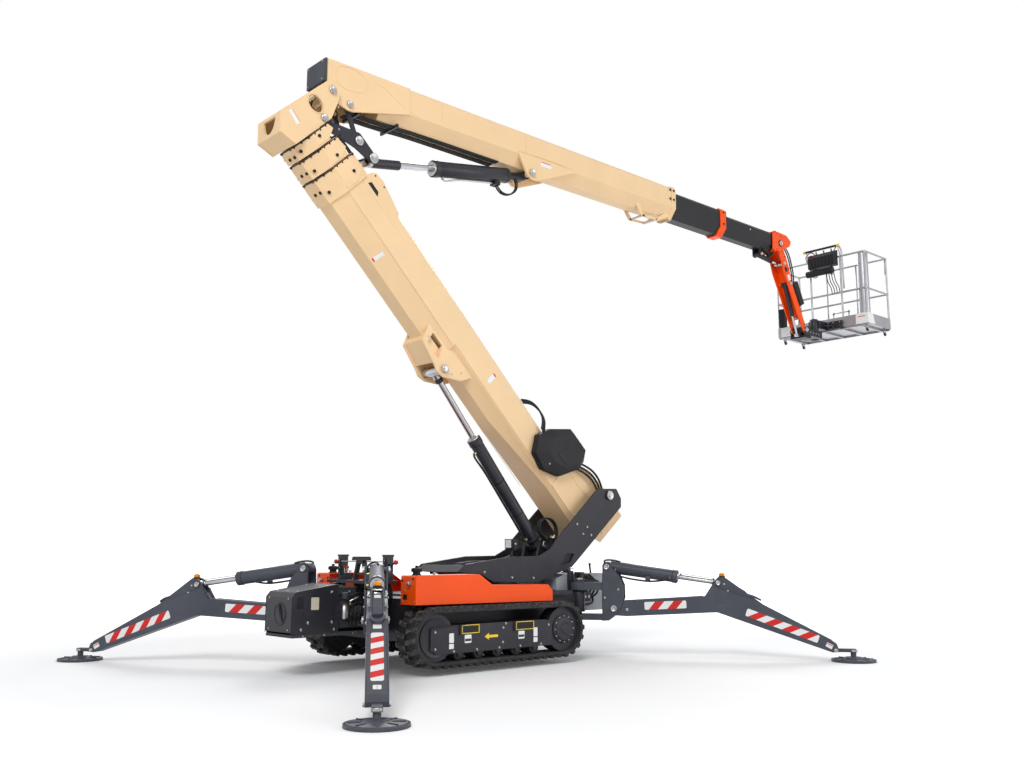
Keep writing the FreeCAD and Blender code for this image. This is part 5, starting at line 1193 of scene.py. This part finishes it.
# Jib, carrier and basket.
def dress_jib(body):
    jib = Piece("jib_trim", JIB, "orange", "zinc", "black", "plastic", "hose", "brass")
    for _ in jib.both():
        jib.pin((1.576, 0.118, 0), OUT, 0.04, 1)
        jib.pin((0.72, 0.118, 0), OUT, 0.03, 1)
        jib.pin((0.35, 0.118, -0.01), OUT, 0.032, 1)
        jib.bolts(xz(0.118, (0.13, 0.06), (0.48, 0.07), (0.25, 0.08), (1.48, 0.03)), OUT, 0.009, 0.008, 2)
        jib.prism("XZ", ((0.42, -0.04), (0.42, 0.03), (0.5, 0.03), (0.5, -0.04)), 0.1175, 0.1215, 2)
        jib.prism("XZ", ((0.43, -0.03), (0.43, 0.02), (0.455, 0.02), (0.455, -0.03)), 0.121025, 0.125145, 3)
        jib.rods(xz(0.108, (-0.06, 0.036), (0.02, 0.086), (0.26, 0.106), (0.48, 0.096), (0.7, 0.041), (1.05, 0.048),
                    (1.45, 0.058), (1.64, 0.046)), 0.0105, 0, 8)
    # Motor housing and junction box on the basket side.
    jib.prism("XZ", ((0.03, 0.062), (0.26, 0.094), (0.48, 0.084), (0.7, 0.029), (1.05, 0.036), (1.38, 0.044),
                     (1.38, 0.036), (1.05, 0.028), (0.7, 0.019), (0.48, 0.074), (0.26, 0.084), (0.03, 0.052)),
              -0.098, 0.098)
    jib.box((0.74, -0.128, 0.064), (1.16, 0, 0.22), 3)
    jib.box((0.76, -0.134, 0.084), (1.14, -0.126, 0.2), 2)
    for k in range(8):
        jib.box((0.785 + 0.044 * k, -0.137, 0.09), (0.801 + 0.044 * k, -0.132, 0.194), 3)
    jib.box((1.16, -0.08, 0.055), (1.26, 0.04, 0.13), 3)
    for x in (0.7, 1.34):
        jib.rod((x, -0.098, 0.02), (x, 0.098, 0.02), 0.016, 1, 14)
    for y in (-0.06, -0.03, 0):
        jib.tube(xz(y, (0.56, 0.06), (0.7, 0.09), (0.78, 0.11)), 0.01, 4, 10, 5)
        jib.tube(xz(y, (1.14, 0.13), (1.26, 0.15), (1.4, 0.11), (1.48, 0.055)), 0.01, 4, 10, 5)
    jib.done(body, 0.0012)
    pair(label, "jib_label", body, JIB, (0.61, 0.1185, 0.002), (-1, 0, 0), (0.1, 0.085), ("red", 0.1, 0.24))


dress_jib(body_of["jib"])
BASKET_FRONT, BASKET_SIDE, BASKET_FLOOR = 8.047, 0.9, 5.1643
TURN_X = LEVEL_PIN.x + 0.504


def on_basket(x, y, z):
    """A point given from the basket's front edge and floor."""
    return BASKET_FRONT + x, y, BASKET_FLOOR + z


def beside_basket(*points):
    return [(BASKET_FRONT + x, BASKET_FLOOR + z) for x, z in points]


def on_carrier(x, y, z):
    """A point given from the levelling pin."""
    return LEVEL_PIN.x + x, y, LEVEL_PIN.z + z


def dress_rails(body):
    rails = Piece("basket_rails", WORLD, "alloy", "zinc", "white")
    front, back, far = 0.017, 0.783, BASKET_SIDE - 0.017
    middle, top = 0.64, 1.303
    for y in (0.3, -0.3):
        rails.rod(on_basket(back, y, 0.02), on_basket(back, y, top), 0.0135, 0, 14)
    for x, y in ((front, -far), (front, far), (back, -far), (back, far), (front, 0.18), (front, -0.42)):
        if abs(y) < far:
            rails.lathe(on_basket(x, y, 0.028), UP, stub(0.034, 0.006, 0.012, 0.019), 18, 1)
        for z in (middle, top - 0.002):
            rails.lathe(on_basket(x, y, z - 0.024), UP, ((0, 0.0175), (0.01, 0.0195), (0.03, 0.0195), (0.038, 0.0175)),
                        16)
    # Bowed guard over the console and the raised loop beside it.
    for loop in (((0.017, 0.24, 1.303), (-0.013, 0.235, 1.423), (-0.023, 0.14, 1.478), (-0.013, 0.06, 1.423),
                  (0.017, 0.055, 1.303), (0.017, 0.055, 1)),
                 ((0.017, -0.47, 0.7), (-0.003, -0.47, 1.303), (-0.023, -0.46, 1.433), (-0.023, -0.4, 1.493),
                  (-0.013, -0.33, 1.433), (0.017, -0.32, 1.303))):
        rails.tube([on_basket(*at) for at in loop], 0.014, 0, 12, 6)
    # Inner gate frame with ball corners, and low hand loops on the floor.
    gate = [on_basket(0.12, y, z) for y, z in ((-0.48, 0.03), (-0.48, 0.3), (-0.18, 0.3), (-0.18, 0.03))]
    rails.rods(gate, 0.011, 0, 14)
    for at in gate[1:-1]:
        rails.lathe(at, UP, [(-0.011 * math.cos(math.pi * k / 6), max(0.0004, 0.011 * math.sin(math.pi * k / 6)))
                             for k in range(7)], 14)
    for y in (-0.48, -0.18):
        rails.lathe(on_basket(0.12, y, 0.285), UP, stub(0.018, 0.03, 0.034, 0.01), 16, 1)
    for x in (0.06, 0.74):
        rails.rod(on_basket(x, -far, top - 0.001), on_basket(x, 0.002 - far, 1), 0.008, 0, 10)
    # Thick corner cover tube at the near front corner, with end caps.
    rails.lathe(on_basket(0.092, -0.808, 0.19), UP,
                ((0, 0.08), (0.006, 0.086), (0.012, 0.088), (1.09, 0.088), (1.1, 0.086), (1.104, 0.078)), 40)
    rails.done(body)


def dress_tray(body):
    tray = Piece("basket_tray", WORLD, "alloy", "zinc", "black", "white", "plastic")
    for k in range(5):
        y = -0.76 + 0.38 * k
        tray.box(on_basket(0.02, y - 0.02, -0.034), on_basket(0.78, y + 0.02, 0.002))
    for x in (0.01, 0.76):
        tray.box(on_basket(x, -0.89, -0.03), on_basket(x + 0.03, 0.89, 0.002))
    for k in range(13):
        for j in range(28):
            x, y = BASKET_FRONT + 0.06 + 0.057 * k, -0.84 + 0.0622 * j
            lean = 0.016 if (k + j) % 2 else -0.016
            tray.prism("XY", ((x - 0.017, y - lean), (x, y - 0.004), (x + 0.017, y + lean), (x, y + 0.004)),
                       BASKET_FLOOR + 0.029, BASKET_FLOOR + 0.0325)
    rivet = stub(0.009, 0.003, 0.005, 0.005)
    for k in range(9):
        tray.lathe(on_basket(0, -0.8 + 0.2 * k, 0.16), AHEAD, rivet, 12, 1)
    for k in range(5):
        for sign in (-1, 1):
            tray.lathe(on_basket(0.08 + 0.16 * k, sign * BASKET_SIDE, 0.16), (0, sign, 0), rivet, 12, 1)
    tray.prism("XZ", beside_basket((0.002, 0.01), (0.002, 0.2), (0.18, 0.2), (0.24, 0.01)), -0.903, -0.898, 3)
    tray.box(on_basket(-0.003, -0.898, 0.01), on_basket(0.002, -0.67, 0.2), 3)
    tray.box(on_basket(-0.06, 0.56, 0.005), on_basket(-0.003, 0.8, 0.17), 3)
    # Casters: fork, wheel and axle.
    for x in (0.09, 0.71):
        for y in (-0.82, 0.82):
            tray.lathe(on_basket(x, y, -0.04), UP, stub(0.03, 0.008, 0.012, 0.016), 20, 1)
            for side in (y - 0.02, y + 0.02):
                tray.prism("XZ", beside_basket((x - 0.022, -0.04), (x + 0.022, -0.04), (x + 0.034, -0.09),
                                               (x + 0.01, -0.09)), side - 0.002, side + 0.002, 1)
            tray.lathe(on_basket(x + 0.02, y - 0.015, -0.086), OUT,
                       ((0, 0.026), (0.004, 0.034), (0.026, 0.034), (0.03, 0.026)), 24, 4)
    # Perforated box at the far front and the tool box by the corner.
    tray.box(on_basket(-0.09, 0.7, 0.18), on_basket(-0.002, 0.82, 0.52), 4)
    for k in range(6):
        for y in (0.73, 0.79):
            tray.lathe(on_basket(-0.0905, y, 0.22 + 0.05 * k), AHEAD,
                       ((-0.004, 0.012), (0.002, 0.015), (0.003, 0.012), (-0.002, 0.01), (-0.002, 0)), 14, 2)
    tray.done(body, 0.0012)
    label("basket_label_corner", body, WORLD, on_basket(-0.0032, -0.78, 0.11), (0, -1, 0), AHEAD, (0.15, 0.12),
          ("red", 0.66, 0.78))


def dress_console(body):
    panel = Piece("console_trim", WORLD, "plastic", "black", "yellow", "zinc", "ball", "cap", "hose")
    panel.prism("XZ", beside_basket((-0.165, 1.13), (-0.175, 1.32), (-0.135, 1.385), (-0.022, 1.42), (-0.022, 1.13)),
                -0.4, 0.12)
    panel.rod(on_basket(-0.105, -0.34, 1.05), on_basket(-0.105, 0.18, 1.05), 0.058, 0, 28)
    for y in (-0.29, 0.06):
        panel.box(on_basket(-0.105, y, 0.985), on_basket(-0.001, y + 0.03, 1), 3)
        panel.box(on_basket(-0.032, y, 0.985), on_basket(-0.022, y + 0.03, 1.3), 3)
        panel.box(on_basket(-0.032, y, 1.286), on_basket(0.004, y + 0.03, 1.3), 3)
    for k in range(7):
        y = -0.37 + 0.068 * k
        panel.box(on_basket(-0.179, y, 1.15), on_basket(-0.167, y + 0.04, 1.3), 1)
    stick = ((0, 0.026), (0.01, 0.024), (0.022, 0.012), (0.04, 0.008), (0.044, 0.014), (0.056, 0.016), (0.062, 0.008))
    for y in (-0.32, -0.17, -0.02):
        panel.lathe(on_basket(-0.085, y, 1.385), (-0.3, 0, 1), stick, 20, 1)
    panel.lathe(on_basket(-0.125, 0.08, 1.36), (-0.4, 0, 1),
                ((0, 0.022), (0.016, 0.022), (0.018, 0.03), (0.03, 0.028), (0.034, 0)), 24, 4)
    panel.rod(on_basket(-0.065, -0.45, 1.49), on_basket(-0.065, 0.23, 1.49), 0.02, 1, 20)
    for y in (-0.46, 0.21):
        panel.rod(on_basket(-0.065, y, 1.49), on_basket(-0.065, y + 0.045, 1.49), 0.026, 2, 20)
    for y in (-0.43, 0.2):
        panel.rod(on_basket(-0.065, y, 1.49), on_basket(0.015, y, 1.303), 0.01, 3, 12)
    for k in range(4):
        y = -0.34 + 0.05 * k
        panel.tube((on_basket(-0.082, y, 1.01), on_basket(-0.072, y - 0.02, 0.86), on_basket(-0.022, y - 0.05, 0.74),
                    on_basket(-0.012, y - 0.06, 0.645)), 0.008, 6, 8, 5)
    panel.done(body, 0.004, 2, ("control_console",))


def dress_carrier(body):
    carrier = Piece("carrier_trim", WORLD, "black", "zinc", "coal", "hose", "plastic")
    for _ in carrier.both():
        carrier.pin(on_carrier(0, 0.1505, 0), OUT, 0.04, 1)
        carrier.bolts([on_carrier(0.12 + 0.09 * k, 0.15, -0.03) for k in range(4)], OUT, 0.011, 0.01, 1)
    carrier.box(on_carrier(0.13, -0.126, -0.066), on_carrier(0.394, 0.126, -0.005), 4)
    for k in range(3):
        x = 0.18 + 0.06 * k
        carrier.rod(on_carrier(x, -0.06, -0.005), on_carrier(x, -0.06, 0.03), 0.014, 1, 12)
        carrier.tube((on_carrier(x, -0.06, 0.028), on_carrier(x - 0.02, -0.075, 0.07),
                      on_carrier(0.08 + 0.03 * k, -0.09, 0.06), on_carrier(0.04 + 0.02 * k, -0.1, -0.01)),
                     0.01, 3, 10, 6)
    carrier.lathe(on_carrier(0, -0.09, 0), OUT, ((0, 0.06), (0.006, 0.07), (0.174, 0.07), (0.18, 0.06)), 32)
    carrier.box(on_carrier(-0.05, -0.14, -0.135), on_carrier(0.15, 0.14, -0.092))
    carrier.lathe((TURN_X, 0, LEVEL_PIN.z - 0.104), UP, ((0, 0.05), (0.014, 0.08)), 32)
    carrier.done(body, 0.0012)


def dress_bracket(body):
    arm = Piece("bracket_trim", WORLD, "black", "zinc", "coal", "plastic")
    arm.lathe((TURN_X, 0, BASKET_FLOOR + 0.156), UP, ((-0.01, 0.074), (0.004, 0.062), (0.012, 0.058), (0.014, 0)), 36)
    arm.bolts([(x, y, BASKET_FLOOR + 0.158) for x, y in ring_points(6, (TURN_X, 0), (0.06, 0.06))], UP,
              0.007, 0.007, 1)
    root = TURN_X + 0.07 - BASKET_FRONT
    for _ in arm.both():
        arm.prism("XZ", beside_basket((root, -0.012), (root, 0.12), (-0.042, 0.1), (-0.042, -0.012)), 0.112, 0.122)
        arm.prism("XY", [(BASKET_FRONT + x, y) for x, y in ((-0.2, 0.122), (-0.042, 0.122), (-0.042, 0.33))],
                  BASKET_FLOOR + 0.04, BASKET_FLOOR + 0.052)
        arm.bolts([on_basket(-0.04, y, z) for z in (0.03, 0.1) for y in (0.38, 0.25, 0.15)], AHEAD, 0.01, 0.009, 1)
        arm.box(on_basket(-0.11, 0.35, -0.03), on_basket(-0.041, 0.42, 0.02), 3)
    arm.done(body, 0.0015)


dress_rails(body_of["basket"])
dress_tray(body_of["basket"])
dress_console(body_of["control_console"])
dress_carrier(body_of["basket_carrier"])
dress_bracket(body_of["basket_bracket"])


# Free hoses, each parented to the body it rides on.
def hose(name, body, points, diameter):
    """A free hose on a smooth line, parented to its body; points are in the row frame."""
    curve = bpy.data.curves.new(name, "CURVE")
    curve.dimensions = "3D"
    curve.bevel_depth = diameter / 2
    curve.bevel_resolution = 4
    curve.resolution_u = 10
    curve.use_fill_caps = True
    spline = curve.splines.new("NURBS")
    spline.points.add(len(points) - 1)
    for point, at in zip(spline.points, points):
        point.co = (*at, 1.0)
    spline.order_u = 3
    spline.use_endpoint_u = True
    curve.materials.append(mat["hose"])
    item = add_object(name, curve)
    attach(item, body)
    tuple(points[0])


for k in range(3):
    step = 0.026 * k
    hose(f"hose_housing_up_{k}", body_of["boom_section_1"], [MAIN @ main_at(u + step, n, y) for u, n, y in (
        (1.29, -0.23, -0.3), (1.345, -0.14, -0.306), (1.44, -0.085, -0.296), (1.56, -0.07, -0.268),
        (1.67, -0.1, -0.24), (1.74, -0.18, -0.225))], 0.024)
    hose(f"hose_housing_down_{k}", body_of["boom_section_1"], [MAIN @ main_at(u, n - 2 * step, y) for u, n, y in (
        (0.64, -0.05, -0.3), (0.5, 0.03, -0.318), (0.33, 0.085, -0.33), (0.16, 0.075, -0.33), (0.04, 0.01, -0.322),
        (-0.02, -0.12, -0.3), (-0.01, -0.24, -0.256))], 0.028)
for k in range(2):
    step = 0.034 * k
    hose(f"hose_luff_{k}", body_of["turret"], [(x, y + step, z) for x, y, z in (
        (1.06, -0.215, 1.4), (1.09, -0.205, 1.53), (1.03, -0.185, 1.65), (0.9, -0.165, 1.68), (0.8, -0.165, 1.6),
        (0.8, -0.175, 1.48), (0.9, -0.2, 1.39))], 0.024)
    hose(f"hose_elbow_{k}", body_of["elbow_barrel"], [elbow(a, b, step - 0.02) for a, b in (
        (0.5, -0.11), (0.47, -0.21), (0.34, -0.27), (0.19, -0.23), (0.11, -0.13), (0.13, -0.04))], 0.022)
    hose(f"hose_jib_{k}", body_of["jib"], [JIB @ Vector((x, y + step, z)) for x, y, z in (
        (0.745, -0.09, 0.15), (0.64, -0.09, 0.21), (0.44, -0.09, 0.255), (0.24, -0.09, 0.27), (0.09, -0.088, 0.21),
        (0.05, -0.086, 0.07))], 0.022)


# Camera, floor and light.
def add_camera():
    data = bpy.data.cameras.new("camera")
    data.sensor_width = 36.0
    data.lens = 35.41
    data.clip_end = 200.0
    item = add_object("camera", data)
    item.location = (-8.053, -9.366, 1.286)
    item.rotation_euler = (math.radians(90.0 + 9.293), 0.0, math.radians(-42.355))
    bpy.context.scene.camera = item


def seen_rays(nodes, links):
    """What is 1 for rays of the camera, and for those that reach it by a mirror or through glass."""
    rays = nodes.new("ShaderNodeLightPath")
    seen = rays.outputs["Is Camera Ray"]
    for kind in ("Is Glossy Ray", "Is Transmission Ray"):
        either = nodes.new("ShaderNodeMath")
        either.operation = "MAXIMUM"
        links.new(seen, either.inputs[0])
        links.new(rays.outputs[kind], either.inputs[1])
        seen = either.outputs[0]
    return seen


def add_stage():
    """A pale floor that keeps the soft shadow and fades to white away from the machine."""
    mesh = bpy.data.meshes.new("floor")
    size = 60.0
    mesh.from_pydata([(-size, -size, -0.001), (size, -size, -0.001), (size, size, -0.001), (-size, size, -0.001)],
                     [], [(0, 1, 2, 3)])
    graph = Graph("floor_white")
    nodes, links = graph.nodes, graph.links
    graph.colour(graph.ramp(graph.noise(0.4), 0.3, 0.7, (0.93,) * 3, (0.95,) * 3))
    graph.shader.inputs["Roughness"].default_value = 0.9
    graph.shader.inputs["Specular IOR Level"].default_value = 0.0
    glow = nodes.new("ShaderNodeEmission")
    glow.inputs["Color"].default_value = (1.0, 1.0, 1.0, 1.0)
    length = nodes.new("ShaderNodeVectorMath")
    length.operation = "LENGTH"
    links.new(graph.place, length.inputs[0])
    reach = nodes.new("ShaderNodeMapRange")
    for name, value in (("From Min", 5.0), ("From Max", 16.0), ("To Min", 0.05), ("To Max", 1.0)):
        reach.inputs[name].default_value = value
    links.new(length.outputs["Value"], reach.inputs["Value"])
    links.new(reach.outputs[0], glow.inputs["Strength"])
    black = nodes.new("ShaderNodeEmission")
    black.inputs["Strength"].default_value = 0.0
    pick = nodes.new("ShaderNodeMixShader")
    total = nodes.new("ShaderNodeAddShader")
    for source, target in ((seen_rays(nodes, links), pick.inputs[0]), (black.outputs[0], pick.inputs[1]),
                           (glow.outputs[0], pick.inputs[2]), (graph.shader.outputs[0], total.inputs[0]),
                           (pick.outputs[0], total.inputs[1]),
                           (total.outputs[0], nodes["Material Output"].inputs["Surface"])):
        links.new(source, target)
    mesh.materials.append(graph.material)
    add_object("floor", mesh)


def add_light():
    world = bpy.data.worlds.new("studio")
    bpy.context.scene.world = world
    world.use_nodes = True
    nodes, links = world.node_tree.nodes, world.node_tree.links
    plain, white = nodes["Background"], nodes.new("ShaderNodeBackground")
    for node, colour, strength in ((plain, (0.93, 0.96, 1.0, 1.0), 0.46), (white, (1.0, 1.0, 1.0, 1.0), 1.0)):
        node.inputs["Color"].default_value = colour
        node.inputs["Strength"].default_value = strength
    mixer = nodes.new("ShaderNodeMixShader")
    links.new(seen_rays(nodes, links), mixer.inputs[0])
    links.new(plain.outputs[0], mixer.inputs[1])
    links.new(white.outputs[0], mixer.inputs[2])
    links.new(mixer.outputs[0], nodes["World Output"].inputs["Surface"])
    for name, place, aim, size, power in (
        ("key", (-14.0, -11.0, 15.0), (0.0, 0.0, 3.0), 9.0, 2250.0),
        ("fill", (9.0, -15.0, 6.0), (2.0, 0.0, 3.0), 10.0, 760.0),
        ("rim", (10.0, 12.0, 14.0), (2.0, 0.0, 3.0), 10.0, 1700.0),
    ):
        data = bpy.data.lights.new(name, "AREA")
        data.shape = "DISK"
        data.size = size
        data.energy = power
        lamp = add_object(name, data)
        lamp.location = place
        lamp.rotation_euler = (Vector(aim) - Vector(place)).to_track_quat("-Z", "Y").to_euler()


add_camera()
add_stage()
add_light()

bpy.context.scene.view_settings.view_transform = "Standard"
